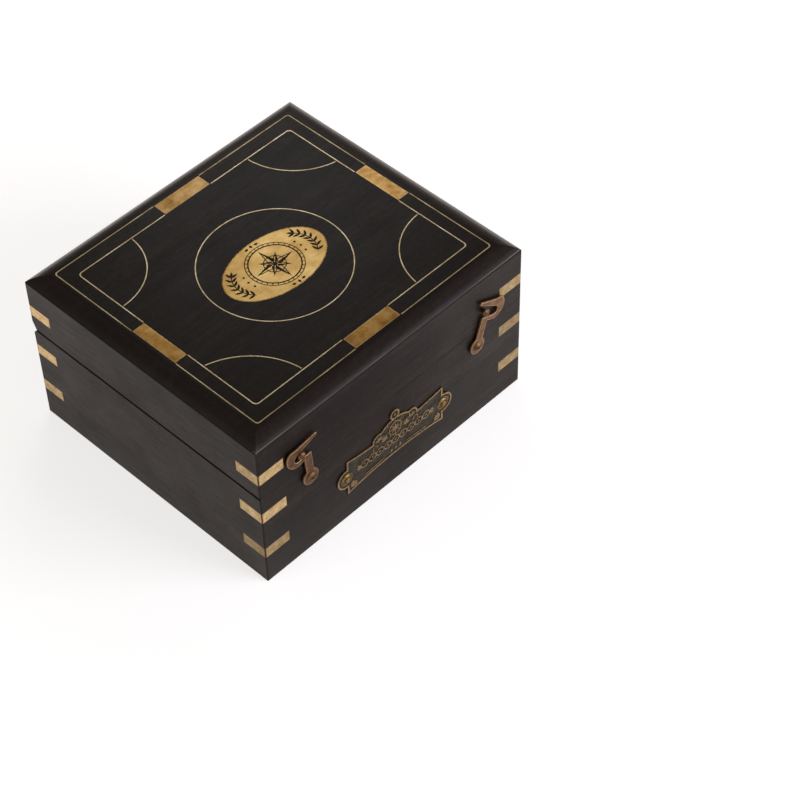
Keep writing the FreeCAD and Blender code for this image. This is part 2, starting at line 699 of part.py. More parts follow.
# Brass inlay in the lid top, each piece let in flush.
inlay_z = "(%s - Sizes.inlay_thickness)" % lid_top
thin = "Sizes.inlay_thickness"
line = "Sizes.line_width"
outer_length = "(Sizes.box_width - 2 * Sizes.line_inset_x)"
outer_width = "(Sizes.box_depth - 2 * Sizes.line_inset_y)"
inner_length = "(Sizes.box_width - 2 * Sizes.line_inset_x - 2 * Sizes.line_spacing_x)"
inner_width = "(Sizes.box_depth - 2 * Sizes.line_inset_y - 2 * Sizes.line_spacing_y)"


def line_frame(name, length, width, corner_radius):
    """A rectangular brass line with rounded corners."""
    outside = eased_box(name + "_outside", length, width, thin, inlay_z, corner_radius, is_upright)
    inside = eased_box(name + "_inside", "%s - 2 * %s" % (length, line), "%s - 2 * %s" % (width, line),
                       thin, inlay_z, "%s - %s / 2" % (corner_radius, line), is_upright)
    return cut(name, outside, [inside])


# Each bar lies from the middle of one line to the middle of the other, and the lines stop just short of it.
spacing_x = "Sizes.line_spacing_x"
spacing_y = "Sizes.line_spacing_y"
bar_x = "(%s - %s - %s) / 2" % (outer_length, line, spacing_x)
bar_y = "(%s - %s - %s) / 2" % (outer_width, line, spacing_y)
bar_layout = {
    "front": ("Sizes.bar_length", spacing_y, "Sizes.front_bar_shift", "-" + bar_y),
    "back": ("Sizes.bar_length", spacing_y, "Sizes.back_bar_shift", bar_y),
    "left": (spacing_x, "Sizes.bar_length", "-" + bar_x, "Sizes.side_bar_shift"),
    "right": (spacing_x, "Sizes.bar_length", bar_x, "Sizes.side_bar_shift"),
}
bars = []
rooms = []
for face, (length, width, x, y) in bar_layout.items():
    bars.append(node("lid_bar_inlay_" + face, centred_box("bar_" + face, length, width, thin, x, y, inlay_z)))
    gap_x, gap_y = ("Sizes.bar_gap", line) if face in ("front", "back") else (line, "Sizes.bar_gap")
    rooms.append(centred_box("bar_room_" + face, "%s + 2 * %s" % (length, gap_x), "%s + 2 * %s" % (width, gap_y),
                             thin, x, y, inlay_z))
outer_frame = line_frame("outer_frame", outer_length, outer_width, "Sizes.outer_line_corner")
inner_frame = line_frame("inner_frame", inner_length, inner_width, "Sizes.inner_line_corner")
outer_lines = node("lid_line_inlay_outer", cut("outer_lines", outer_frame, rooms))
inner_lines = node("lid_line_inlay_inner", cut("inner_lines", inner_frame, rooms))


def ring(name, radius, x, y):
    """A brass line bent to a circle."""
    outside = cylinder(name + "_outside", "%s + %s / 2" % (radius, line), thin, x, y, inlay_z)
    inside = cylinder(name + "_inside", "%s - %s / 2" % (radius, line), thin, x, y, inlay_z)
    return cut(name, outside, [inside])


ring_inlay = node("lid_ring_inlay", ring("centre_ring", "Sizes.ring_radius", "Sizes.medallion_shift_x",
                                         "Sizes.medallion_shift_y"))
field_length = "(%s - 2 * %s - 2 * Sizes.arc_gap)" % (inner_length, line)
field_width = "(%s - 2 * %s - 2 * Sizes.arc_gap)" % (inner_width, line)
arc_field = centred_box("arc_field", field_length, field_width, thin, "0", "0", inlay_z)
corner_rings = []
for corner, (sx, sy) in corners.items():
    centre_x = "%d * ((%s - %s) / 2 - Sizes.%s_arc_shift_x)" % (sx, inner_length, line, corner)
    centre_y = "%d * ((%s - %s) / 2 - Sizes.%s_arc_shift_y)" % (sy, inner_width, line, corner)
    corner_rings.append(ring("corner_ring_" + corner, "Sizes.%s_arc_radius" % corner, centre_x, centre_y))
corner_arcs = common("corner_arcs", fuse("corner_rings", corner_rings), arc_field)
node("lid_corner_arc_inlays", corner_arcs)

oval = doc.addObject("Part::Ellipse", "medallion_oval")
bind(oval, {"MajorRadius": "Sizes.medallion_half_length", "MinorRadius": "Sizes.medallion_half_width"})
medallion = doc.addObject("Part::Extrusion", "medallion_plate")
medallion.Base = oval
medallion.DirMode = "Custom"
medallion.Dir = Vector(0, 0, 1)
medallion.Solid = True
bind(medallion, {"LengthFwd": thin})
place(medallion, "Sizes.medallion_shift_x", "Sizes.medallion_shift_y", inlay_z)
node("lid_medallion", medallion)

# The moulded lid top: flat in the middle and rounded down to the rim on all four sides.
moulding_radius = "((Sizes.moulding_width^2 + Sizes.moulding_rise^2) / (2 * Sizes.moulding_rise))"
round_z = "(%s - %s)" % (lid_top, moulding_radius)
flat_length = "(Sizes.box_width - 2 * Sizes.moulding_width)"
flat_width = "(Sizes.box_depth - 2 * Sizes.moulding_width)"
along_y = Rotation(Vector(1, 0, 0), -90)
section_x = [centred_box("flat_x", "Sizes.box_width", flat_width, slab_height, "0", "0", rim_top)]
for face, sy in (("front", -1), ("back", 1)):
    section_x.append(cylinder("round_" + face, moulding_radius, "Sizes.box_width",
                              "-" + half_width, "%d * %s / 2" % (sy, flat_width), round_z, along_x))
section_y = [centred_box("flat_y", flat_length, "Sizes.box_depth", slab_height, "0", "0", rim_top)]
for side, sx in sides.items():
    section_y.append(cylinder("round_" + side, moulding_radius, "Sizes.box_depth",
                              "%d * %s / 2" % (sx, flat_length), "-" + half_depth, round_z, along_y))
slab = centred_box("top_slab", "Sizes.box_width", "Sizes.box_depth", slab_height, "0", "0", rim_top)
crossed = common("moulded_cross", fuse("moulded_section_x", section_x), fuse("moulded_section_y", section_y))
moulded = common("moulded_corners", crossed, slab)
moulded_top = common("moulded_top", moulded, lid_blank)
tongue = centred_box("top_tongue", "2 * (%s - Sizes.tongue_clearance)" % inner_half_width,
                     "2 * (%s - Sizes.tongue_clearance)" % inner_half_depth,
                     "Sizes.tongue_depth + Sizes.moulding_rise / 2",
                     "0", "0", "%s - Sizes.tongue_depth" % rim_top)
top_inlays = [outer_lines, inner_lines, ring_inlay, corner_arcs, medallion] + bars
node("lid_top_panel", cut("top_panel", fuse("top_blank", [moulded_top, tongue]), top_inlays))


# Linings and the blocks that the instrument rests on.
def wall_linings(part, low, high):
    height = "(%s) - (%s)" % (high, low)
    lining = "Sizes.lining_thickness"
    node(part + "_lining_front", box(part + "_front_cloth", "2 * " + inner_half_width, lining, height,
                                     "-" + inner_half_width, "-" + inner_half_depth, low))
    node(part + "_lining_back", box(part + "_back_cloth", "2 * " + inner_half_width, lining, height,
                                    "-" + inner_half_width, "%s - %s" % (inner_half_depth, lining), low))
    for side, sign in sides.items():
        node("%s_lining_%s" % (part, side),
             box("%s_%s_cloth" % (part, side), lining, "2 * %s - 2 * %s" % (inner_half_depth, lining), height,
                 "%d * %s - (%d + 1) / 2 * %s" % (sign, inner_half_width, sign, lining),
                 "-%s + %s" % (inner_half_depth, lining), low))


floor_top = "(Sizes.bottom_thickness + Sizes.floor_lining_thickness)"
pad_low = "(%s - Sizes.tongue_depth - Sizes.lid_pad_thickness)" % rim_top
node("base_floor_lining", centred_box("floor_cloth", "2 * " + inner_half_width, "2 * " + inner_half_depth,
                                      "Sizes.floor_lining_thickness", "0", "0", "Sizes.bottom_thickness"))
node("lid_top_lining", centred_box("lid_pad", "2 * " + inner_half_width, "2 * " + inner_half_depth,
                                   "Sizes.lid_pad_thickness", "0", "0", pad_low))
wall_linings("base", floor_top, "%s - Sizes.lining_rim_drop" % seam)
wall_linings("lid", "%s + Sizes.lining_rim_drop" % seam, pad_low)


def rest_block(name, length, x, sy):
    """A wooden block against a long wall, stepped on the side that faces the middle."""
    wall_y = "%d * (%s - Sizes.lining_thickness)" % (sy, inner_half_depth)
    step_y = "%s - %d * Sizes.block_depth" % (wall_y, sy)
    block = centred_box(name + "_block", length, "Sizes.block_depth", "Sizes.block_height", x,
                        "%s - %d * Sizes.block_depth / 2" % (wall_y, sy), floor_top)
    step = centred_box(name + "_step", "%s + 2 * %s" % (length, over), "2 * Sizes.block_step_depth",
                       "Sizes.block_step_height + %s" % over, x, step_y,
                       "%s + Sizes.block_height - Sizes.block_step_height" % floor_top)
    node(name, cut(name + "_stepped", block, [step]))


block_inset = "(Sizes.lining_thickness + Sizes.block_end_gap + Sizes.block_length / 2)"
for side, sign in sides.items():
    block_x = "%d * (%s - %s)" % (sign, inner_half_width, block_inset)
    rest_block("rest_block_back_" + side, "Sizes.block_length", block_x, 1)
rest_block("rest_block_front", "Sizes.front_block_length", "0", -1)

doc.recompute()

faults = [item.Label for item in doc.Objects if {"Invalid", "Error"} & set(item.State)]
for item in nodes:
    if item.Shape.isNull() or not item.Shape.isValid() or not item.Shape.Solids:
        faults.append(item.Label)
if faults:
    raise RuntimeError("failed: " + ", ".join(faults))

os.makedirs("parts", exist_ok=True)
for item in nodes:
    item.Shape.exportStep("parts/%s.step" % item.Label)
    bounds = item.Shape.BoundBox
    print("%-34s solids %d volume %9.1f z %.2f to %.2f"
          % (item.Label, len(item.Shape.Solids), item.Shape.Volume, bounds.ZMin, bounds.ZMax))
print(len(nodes), "nodes")
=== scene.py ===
import bpy
import json
import math
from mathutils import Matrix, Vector, noise


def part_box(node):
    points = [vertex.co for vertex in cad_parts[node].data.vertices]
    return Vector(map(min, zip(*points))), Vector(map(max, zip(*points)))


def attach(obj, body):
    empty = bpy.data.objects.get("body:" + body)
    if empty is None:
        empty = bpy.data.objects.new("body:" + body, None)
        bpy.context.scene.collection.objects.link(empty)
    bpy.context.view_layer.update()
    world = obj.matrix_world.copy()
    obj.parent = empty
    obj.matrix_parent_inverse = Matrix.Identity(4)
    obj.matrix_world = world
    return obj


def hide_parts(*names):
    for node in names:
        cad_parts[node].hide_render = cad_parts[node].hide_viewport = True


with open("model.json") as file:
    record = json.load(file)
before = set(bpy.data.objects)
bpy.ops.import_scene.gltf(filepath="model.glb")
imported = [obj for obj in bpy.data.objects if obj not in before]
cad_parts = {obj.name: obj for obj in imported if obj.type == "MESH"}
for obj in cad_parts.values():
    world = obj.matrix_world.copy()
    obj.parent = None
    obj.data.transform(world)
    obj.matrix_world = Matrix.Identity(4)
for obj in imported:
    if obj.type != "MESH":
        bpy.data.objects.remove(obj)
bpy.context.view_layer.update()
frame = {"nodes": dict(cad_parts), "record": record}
nodes = frame["nodes"]
bodyOf = {name: body for body, names in frame["record"]["behaviour"]["bodies"].items() for name in names}
slotOf = {part["node"]: part["material_slot"] for part in frame["record"]["subparts"]}
mm = 0.001

# +X runs along the front from left to right, the front faces -Y, +Z is up; the box is 108.5 mm high
case = {"halfWidth": 100, "halfDepth": 90, "lidJoint": 68.2, "topJoint": 103.5}  # mm


def linearColour(hexValue, alpha=1.0):
    channels = [int(hexValue[i:i + 2], 16) / 255 for i in (1, 3, 5)]
    return [c / 12.92 if c <= 0.04045 else ((c + 0.055) / 1.055) ** 2.4 for c in channels] + [alpha]


def feed(tree, node, inputs):
    # sets a node's live inputs, by name or in order; a value that is a node is linked by its first output
    live = [socket for socket in node.inputs if socket.enabled]
    for key, value in (inputs.items() if isinstance(inputs, dict) else enumerate(inputs)):
        socket = live[key] if isinstance(key, int) else next(s for s in live if s.name == key)
        if isinstance(value, bpy.types.Node):
            value = next(s for s in value.outputs if s.enabled)
        if isinstance(value, bpy.types.NodeSocket):
            tree.links.new(value, socket)
        else:
            socket.default_value = value


def addNode(tree, kind, inputs=(), stops=(), **settings):
    node = tree.nodes.new("ShaderNode" + kind)
    for name, value in settings.items():
        setattr(node, name, value)
    for i, (place, colour) in enumerate(stops):
        elements = node.color_ramp.elements
        element = elements[i] if i < 2 else elements.new(place)
        element.position = place
        element.color = linearColour(colour)
    feed(tree, node, inputs)
    return node


def perMetre(millimetres):  # a noise scale whose features are about this size
    return 1000 / millimetres


def toneStops(look):  # dark to light over the middle of a noise, whose values seldom leave it
    spread = look["toneSpread"]
    return [(0.5 - spread, look["dark"]), (0.5 + spread, look["light"]), (0.5, look["middle"])]


def startMaterial(name):
    material = bpy.data.materials.new(name)
    material.use_nodes = True
    tree = material.node_tree
    shader = tree.nodes["Principled BSDF"]
    place = addNode(tree, "TexCoord").outputs["Object"]
    return material, tree, shader, place


def closeTo(tree, value, middle, full, reach):  # 1 within full mm of a place, 0 beyond reach mm
    away = addNode(tree, "Math", [value, middle * mm], operation="SUBTRACT")
    away = addNode(tree, "Math", [away], operation="ABSOLUTE")
    return addNode(tree, "MapRange", [away, full * mm, reach * mm, 1.0, 0.0])


ebonisedWood = {
    "dark": "#120e0b", "middle": "#1f1815", "light": "#332924", "pore": "#0a0807", "darkening": "#030202",
    "figureSize": 16, "grainSize": 1.1, "poreSize": 0.5, "hazeSize": 26, "mottleSize": 3,  # mm
    "grainStretch": 0.05, "grainShare": 0.45, "mottleShare": 0.25, "toneSpread": 0.14,
    "poreFrom": 0.60, "poreTo": 0.72, "poreAmount": 0.55, "poreDepth": 0.6,
    "hazeFrom": 0.3, "hazeTo": 0.7, "roughness": (0.36, 0.46), "grainGloss": 0.32, "seamDulling": 0.65,
    "specular": 0.15, "bump": 0.45, "bumpHeight": 0.15,
    # the joints painted darker: at the lid joint painted shade for the gap between lid and base, at the top
    # joint a darker line of dirt; each with its height and reach in mm, and its strength
    "jointShadeAndDirt": [(case["lidJoint"], 0.9, 1.0), (case["topJoint"], 0.4, 0.35)],
    "paintedHighlightsAndWear": None,
}


def paintMouldingHighlightsAndWear(tree, look, spot, haze, mottle, colour, rough):
    # a moulded top handled for years, with painted light: its curve painted a little paler, partly for its
    # sheen, a painted highlight line along its front lip and painted highlights down its front mitres, read
    # as rubbed-through varnish
    paintedHighlightsAndWear = look["paintedHighlightsAndWear"]
    sideX, sideY = (addNode(tree, "Math", [spot.outputs[axis]], operation="ABSOLUTE") for axis in "XY")
    longer = case["halfWidth"] - case["halfDepth"]
    # the curve of the moulding painted a little paler, partly a painted sheen
    outward = addNode(tree, "Math", [sideX, longer * mm], operation="SUBTRACT")
    outward = addNode(tree, "Math", [outward, sideY], operation="MAXIMUM")
    curve = addNode(tree, "MapRange", [outward, paintedHighlightsAndWear["curveFrom"] * mm, paintedHighlightsAndWear["curveTo"] * mm,
                                       0.0, paintedHighlightsAndWear["curveAmount"]])
    colour = addNode(tree, "Mix", [curve, colour, linearColour(paintedHighlightsAndWear["colour"])], data_type="RGBA")

    # a painted highlight line along the front lip, brighter towards the corners and broken into patches
    forward = addNode(tree, "Math", [spot.outputs["Y"], -1.0], operation="MULTIPLY")
    atFront = addNode(tree, "MapRange", [forward, paintedHighlightsAndWear["lipFrom"] * mm, paintedHighlightsAndWear["lipTo"] * mm,
                                         0.0, paintedHighlightsAndWear["lipAmount"]])
    lip = closeTo(tree, spot.outputs["Z"], paintedHighlightsAndWear["lipHeight"], paintedHighlightsAndWear["lipCore"], paintedHighlightsAndWear["lipReach"])
    lip = addNode(tree, "Math", [lip, atFront], operation="MULTIPLY")
    patches = addNode(tree, "MapRange", [haze, paintedHighlightsAndWear["patchFrom"], paintedHighlightsAndWear["patchTo"], paintedHighlightsAndWear["patchLeast"], 1.0])
    corners = addNode(tree, "MapRange", [sideX, paintedHighlightsAndWear["cornerFrom"] * mm, paintedHighlightsAndWear["cornerTo"] * mm,
                                         0.0, paintedHighlightsAndWear["cornerAmount"]])
    patches = addNode(tree, "Math", [patches, corners], operation="ADD")
    lip = addNode(tree, "Math", [lip, patches], operation="MULTIPLY")
    colour = addNode(tree, "Mix", [lip, colour, linearColour(paintedHighlightsAndWear["lipHighlightColour"])], data_type="RGBA")

    # a painted highlight runs down the two front mitres, along which |x| + y is always the same length, by
    # which the box is longer than deep
    across = addNode(tree, "Math", [sideX, spot.outputs["Y"]], operation="ADD")
    mitre = closeTo(tree, across, longer, paintedHighlightsAndWear["mitreCore"], paintedHighlightsAndWear["mitreReach"])
    lowDown = addNode(tree, "MapRange", [spot.outputs["Z"], paintedHighlightsAndWear["mitreLow"] * mm, paintedHighlightsAndWear["mitreHigh"] * mm,
                                         paintedHighlightsAndWear["mitreAmount"], 0.0])
    mitre = addNode(tree, "Math", [mitre, lowDown], operation="MULTIPLY")
    broken = addNode(tree, "MapRange", [mottle, paintedHighlightsAndWear["brokenFrom"], paintedHighlightsAndWear["brokenTo"]])
    mitre = addNode(tree, "Math", [mitre, broken], operation="MULTIPLY")
    colour = addNode(tree, "Mix", [mitre, colour, linearColour(paintedHighlightsAndWear["colour"])], data_type="RGBA")
    rough = addNode(tree, "Math", [mitre, -paintedHighlightsAndWear["mitreGloss"], rough], operation="MULTIPLY_ADD")
    return colour, rough


def makeWood(name, grain, changes):
    # ebonised hardwood under a rubbed varnish: nearly black, long faint grain, a soft uneven sheen
    look = {**ebonisedWood, **changes}
    material, tree, shader, place = startMaterial(name)
    stretch = [look["grainStretch"] if axis == grain else 1.0 for axis in "xyz"]
    along = addNode(tree, "Mapping", {"Vector": place, "Scale": stretch})
    figure = addNode(tree, "TexNoise", {"Vector": along, "Scale": perMetre(look["figureSize"]),
                                        "Detail": 4.0, "Distortion": 0.6})
    fine = addNode(tree, "TexNoise", {"Vector": along, "Scale": perMetre(look["grainSize"]),
                                      "Detail": 5.0, "Roughness": 0.65})
    pores = addNode(tree, "TexNoise", {"Vector": along, "Scale": perMetre(look["poreSize"]), "Detail": 2.0})
    haze = addNode(tree, "TexNoise", {"Vector": place, "Scale": perMetre(look["hazeSize"]), "Detail": 3.0})
    mottle = addNode(tree, "TexNoise", {"Vector": place, "Scale": perMetre(look["mottleSize"]),
                                        "Detail": 4.0})
    mixed = addNode(tree, "Mix", [look["grainShare"], figure, fine])
    mixed = addNode(tree, "Mix", [look["mottleShare"], mixed, mottle])
    colour = addNode(tree, "ValToRGB", [mixed], stops=toneStops(look))
    poreMask = addNode(tree, "MapRange", [pores, look["poreFrom"], look["poreTo"], 0.0, look["poreAmount"]])
    colour = addNode(tree, "Mix", [poreMask, colour, linearColour(look["pore"])], data_type="RGBA")
    rough = addNode(tree, "MapRange", [haze, look["hazeFrom"], look["hazeTo"], *look["roughness"]])
    streaks = addNode(tree, "Math", [fine, 0.5], operation="SUBTRACT")
    rough = addNode(tree, "Math", [streaks, -look["grainGloss"], rough], operation="MULTIPLY_ADD")
    spot = addNode(tree, "SeparateXYZ", [place])
    if look["paintedHighlightsAndWear"]:
        colour, rough = paintMouldingHighlightsAndWear(tree, look, spot, haze, mottle, colour, rough)
    # each joint painted darker and duller; at the lid joint this is painted shade
    jointShadeAndDirtMask = 0.0
    for middle, reach, strength in look["jointShadeAndDirt"]:
        near = closeTo(tree, spot.outputs["Z"], middle, reach / 3, reach)
        jointShadeAndDirtMask = addNode(tree, "Math", [near, strength, jointShadeAndDirtMask], operation="MULTIPLY_ADD")
    colour = addNode(tree, "Mix", [jointShadeAndDirtMask, colour, linearColour(look["darkening"])], data_type="RGBA")
    rough = addNode(tree, "Math", [jointShadeAndDirtMask, look["seamDulling"], rough], operation="MULTIPLY_ADD",
                    use_clamp=True)
    height = addNode(tree, "Math", [poreMask, -look["poreDepth"], fine], operation="MULTIPLY_ADD")
    bump = addNode(tree, "Bump", {"Height": height, "Strength": look["bump"],
                                  "Distance": look["bumpHeight"] * mm})
    feed(tree, shader, {"Base Color": colour, "Roughness": rough, "Normal": bump,
                        "Specular IOR Level": look["specular"]})
    return material


mouldedLook = {
    "dark": "#16120f", "middle": "#1f1a17", "light": "#2c2520",
    "roughness": (0.26, 0.34), "grainGloss": 0.18, "bump": 0.25, "specular": 0.09,
    "jointShadeAndDirt": [(case["topJoint"], 0.4, 0.5)],
    # painted highlights and wear on the moulding's curve, front lip and front mitres
    "paintedHighlightsAndWear": {
        "colour": "#4c4645", "curveFrom": 79, "curveTo": 82, "curveAmount": 0.17,
        "lipHighlightColour": "#766e68", "lipHeight": 104.2, "lipCore": 0.1, "lipReach": 0.35,
        "lipFrom": 86.5, "lipTo": 88, "lipAmount": 0.38, "patchFrom": 0.4, "patchTo": 0.6, "patchLeast": 0.3,
        "cornerFrom": 60, "cornerTo": 95, "cornerAmount": 0.8,
        "mitreCore": 0.3, "mitreReach": 1.8, "mitreLow": 103.8, "mitreHigh": 107.2, "mitreAmount": 0.55,
        "mitreGloss": 0.18, "brokenFrom": 0.38, "brokenTo": 0.58,
    },
}
# the lid joint's painted shade is faint on the front and a wide black line on the sides
frontWood = makeWood("ebonisedFrontWood", "x", {
    "jointShadeAndDirt": [(case["lidJoint"], 0.6, 0.12), (case["topJoint"], 0.3, 0.15)],
    "grainGloss": 0.16, "bump": 0.28})
backWood = makeWood("ebonisedBackWood", "x", {})
sideWood = makeWood("ebonisedSideWood", "y", {
    "jointShadeAndDirt": [(case["lidJoint"], 1.25, 1.0), (case["topJoint"], 0.4, 0.35)]})
mouldedWood = makeWood("ebonisedMouldedWood", "x", mouldedLook)
blockWood = makeWood("stainedBlockWood", "x", {
    "dark": "#2a1a12", "middle": "#3a251a", "light": "#4c3222", "jointShadeAndDirt": [], "roughness": (0.5, 0.65)})

agedBrass = {
    "stain": "#6e4a22", "edge": "#d8b884", "toneSpread": 0.16, "roughness": (0.56, 0.42),
    "cloudSize": 8, "speckleSize": 0.9, "speckle": 0.2, "cloudFrom": 0.3, "cloudTo": 0.7,
    "stainSize": 5, "stainFrom": 0.6, "stainSoftness": 0.12, "stainAmount": 0.5, "stainDulling": 0.25,
    "scratchSize": 0.35, "scratchTurn": (0.5, 0.3, 0.6), "scratchStretch": (0.05, 1, 1),
    "scratchFrom": 0.62, "scratchTo": 0.72, "scratchAmount": 0.35, "scratchDepth": 0.6,
    "edgeFrom": 0.3, "edgeTo": 0.55, "edgeAmount": 0.8, "bump": 0.3, "bumpHeight": 0.06,
    "ring": None,
}


def makeBrass(name, changes):
    # aged brass or bronze: a cloudy skin with brown stains and fine scratches, rubbed at its edges
    look = {**agedBrass, **changes}
    material, tree, shader, place = startMaterial(name)
    clouds = addNode(tree, "TexNoise", {"Vector": place, "Scale": perMetre(look["cloudSize"]),
                                        "Detail": 5.0, "Roughness": 0.6})
    speckle = addNode(tree, "TexNoise", {"Vector": place, "Scale": perMetre(look["speckleSize"]),
                                         "Detail": 3.0})
    mixed = addNode(tree, "Mix", [look["speckle"], clouds, speckle])
    colour = addNode(tree, "ValToRGB", [mixed], stops=toneStops(look))
    stain = addNode(tree, "TexNoise", {"Vector": place, "Scale": perMetre(look["stainSize"]), "Detail": 4.0,
                                       "Roughness": 0.7, "Distortion": 0.8})
    stain = addNode(tree, "MapRange", [stain, look["stainFrom"], look["stainFrom"] + look["stainSoftness"],
                                       0.0, look["stainAmount"]])
    colour = addNode(tree, "Mix", [stain, colour, linearColour(look["stain"])], data_type="RGBA")
    rubbedWay = addNode(tree, "Mapping", {"Vector": place, "Rotation": look["scratchTurn"],
                                          "Scale": look["scratchStretch"]})
    scratch = addNode(tree, "TexNoise", {"Vector": rubbedWay, "Scale": perMetre(look["scratchSize"]),
                                         "Detail": 1.0})
    scratch = addNode(tree, "MapRange", [scratch, look["scratchFrom"], look["scratchTo"],
                                         0.0, look["scratchAmount"]])
    colour = addNode(tree, "Mix", [scratch, colour, linearColour(look["edge"])], data_type="RGBA")
    edge = addNode(tree, "Attribute", attribute_name="rubbed").outputs["Fac"]
    uneven = addNode(tree, "MapRange", [speckle, look["edgeFrom"], look["edgeTo"], 0.0, look["edgeAmount"]])
    edge = addNode(tree, "Math", [edge, uneven], operation="MULTIPLY")
    colour = addNode(tree, "Mix", [edge, colour, linearColour(look["edge"])], data_type="RGBA")
    # each run's painted brightness: partly painted light, partly polish
    lightAndPolish = addNode(tree, "Attribute", attribute_name="lightAndPolish").outputs["Fac"]  # 0 where a piece has none
    lightAndPolish = addNode(tree, "Math", [lightAndPolish, 1.0], operation="ADD")
    colour = addNode(tree, "VectorMath", [colour, lightAndPolish], operation="SCALE")
    if look["ring"]:
        # a darker ring painted round the middle of each pin head
        ring = look["ring"]
        spot = addNode(tree, "SeparateXYZ", [place])
        aside = addNode(tree, "Math", [spot.outputs["X"], ring["middle"] * mm], operation="SUBTRACT")
        aside = addNode(tree, "Math", [aside], operation="ABSOLUTE")
        aside = addNode(tree, "Math", [aside, ring["apart"] * mm], operation="SUBTRACT")
        above = addNode(tree, "Math", [spot.outputs["Z"], ring["height"] * mm], operation="SUBTRACT")
        fromPin = addNode(tree, "CombineXYZ", {"X": aside, "Z": above})
        fromPin = addNode(tree, "VectorMath", [fromPin], operation="LENGTH")
        darkening = closeTo(tree, fromPin, ring["radius"], ring["core"], ring["reach"])
        darkening = addNode(tree, "Math", [darkening, ring["amount"]], operation="MULTIPLY")
        colour = addNode(tree, "Mix", [darkening, colour, linearColour(ring["colour"])], data_type="RGBA")
    rough = addNode(tree, "MapRange", [clouds, look["cloudFrom"], look["cloudTo"], *look["roughness"]])
    rough = addNode(tree, "Math", [stain, look["stainDulling"], rough], operation="MULTIPLY_ADD")
    height = addNode(tree, "Math", [scratch, -look["scratchDepth"], mixed], operation="MULTIPLY_ADD")
    bump = addNode(tree, "Bump", {"Height": height, "Strength": look["bump"],
                                  "Distance": look["bumpHeight"] * mm})
    feed(tree, shader, {"Base Color": colour, "Roughness": rough, "Normal": bump, "Metallic": 1.0})
    return material


barBrass = makeBrass("agedBarBrass", {
    "dark": "#9a7038", "middle": "#b68c48", "light": "#caa464", "edge": "#dcbc8c"})
paleBarBrass = makeBrass("paleBarBrass", {
    "dark": "#b88848", "middle": "#d8ac68", "light": "#e4c088", "edge": "#e6cca0"})
lineBrass = makeBrass("drawnLineBrass", {
    "dark": "#ccb888", "middle": "#e2d2a8", "light": "#f0e2c6", "stain": "#8a7448", "speckleSize": 1.2})
dullLineBrass = makeBrass("dulledLineBrass", {
    "dark": "#988862", "middle": "#c0b086", "light": "#d8caa2", "stain": "#6a5634",
    "cloudSize": 16, "speckleSize": 1.2})
stripBrass = makeBrass("rubbedStripBrass", {
    "dark": "#ae925f", "middle": "#cbb182", "light": "#dfcba0", "stain": "#7a5830", "edge": "#866640",
    "cloudSize": 5, "speckleSize": 1.2, "speckle": 0.3, "stainSize": 2.4, "stainAmount": 0.6,
    "stainFrom": 0.58, "scratchAmount": 0.3, "edgeAmount": 0.7})
medallionBrass = makeBrass("etchedMedallionBrass", {
    "dark": "#d4ae68", "middle": "#e4bf78", "light": "#eccc8c", "stain": "#7a5a30", "edge": "#5c4020",
    "cloudSize": 14, "speckleSize": 0.8, "stainAmount": 0.35, "stainFrom": 0.64, "edgeAmount": 1.0})
plateBrass = makeBrass("patinatedPlateBrass", {
    "dark": "#35332c", "middle": "#434038", "light": "#555046", "stain": "#2a2620", "edge": "#c6a678",
    "cloudSize": 5, "speckleSize": 0.7, "speckle": 0.3, "stainSize": 3,
    "scratchAmount": 0.15, "edgeAmount": 0.95})
pinBrass = makeBrass("domedPinBrass", {
    "dark": "#6c5230", "middle": "#92743e", "light": "#ba985c", "cloudSize": 1.6, "speckleSize": 0.5,
    "stainSize": 1.5, "stainAmount": 0.7, "stainFrom": 0.52, "roughness": (0.66, 0.5),
    "ring": {"middle": -1.6, "apart": 37.6, "height": 32.5, "radius": 2.0, "core": 0.25, "reach": 0.75,
             "amount": 0.8, "colour": "#3a2c1c"}})
# the pale edge colour on the hooks' rims is partly a painted highlight, partly rubbing
hookBronze = makeBrass("hookBronze", {
    "dark": "#5a4230", "middle": "#7c5c43", "light": "#967456", "stain": "#3a2a1e", "edge": "#bc9c78",
    "cloudSize": 4, "speckleSize": 0.6, "speckle": 0.3, "stainSize": 3})
studBronze = makeBrass("darkStudBronze", {
    "dark": "#3a2a20", "middle": "#5c4432", "light": "#86684a", "stain": "#2a1e16", "edge": "#a88a64",
    "cloudSize": 1.8, "speckleSize": 0.5, "speckle": 0.3,
    "stainSize": 1.6, "stainAmount": 0.6, "stainFrom": 0.52})
hingeBrass = makeBrass("hingeBrass", {
    "dark": "#8a6c3a", "middle": "#b0905a", "light": "#c8ac78",
    "cloudSize": 4, "speckleSize": 0.6, "speckle": 0.3})

velvetLook = {
    "dark": "#3c080d", "middle": "#560f15", "light": "#6e181e", "toneSpread": 0.14, "rim": "#c86a6a",
    "napSize": 14, "pileSize": 0.5, "pileShare": 0.35, "bump": 0.6, "bumpHeight": 0.2,
    "roughness": 0.95, "specular": 0.1, "sheen": 0.7, "sheenRoughness": 0.35,
}


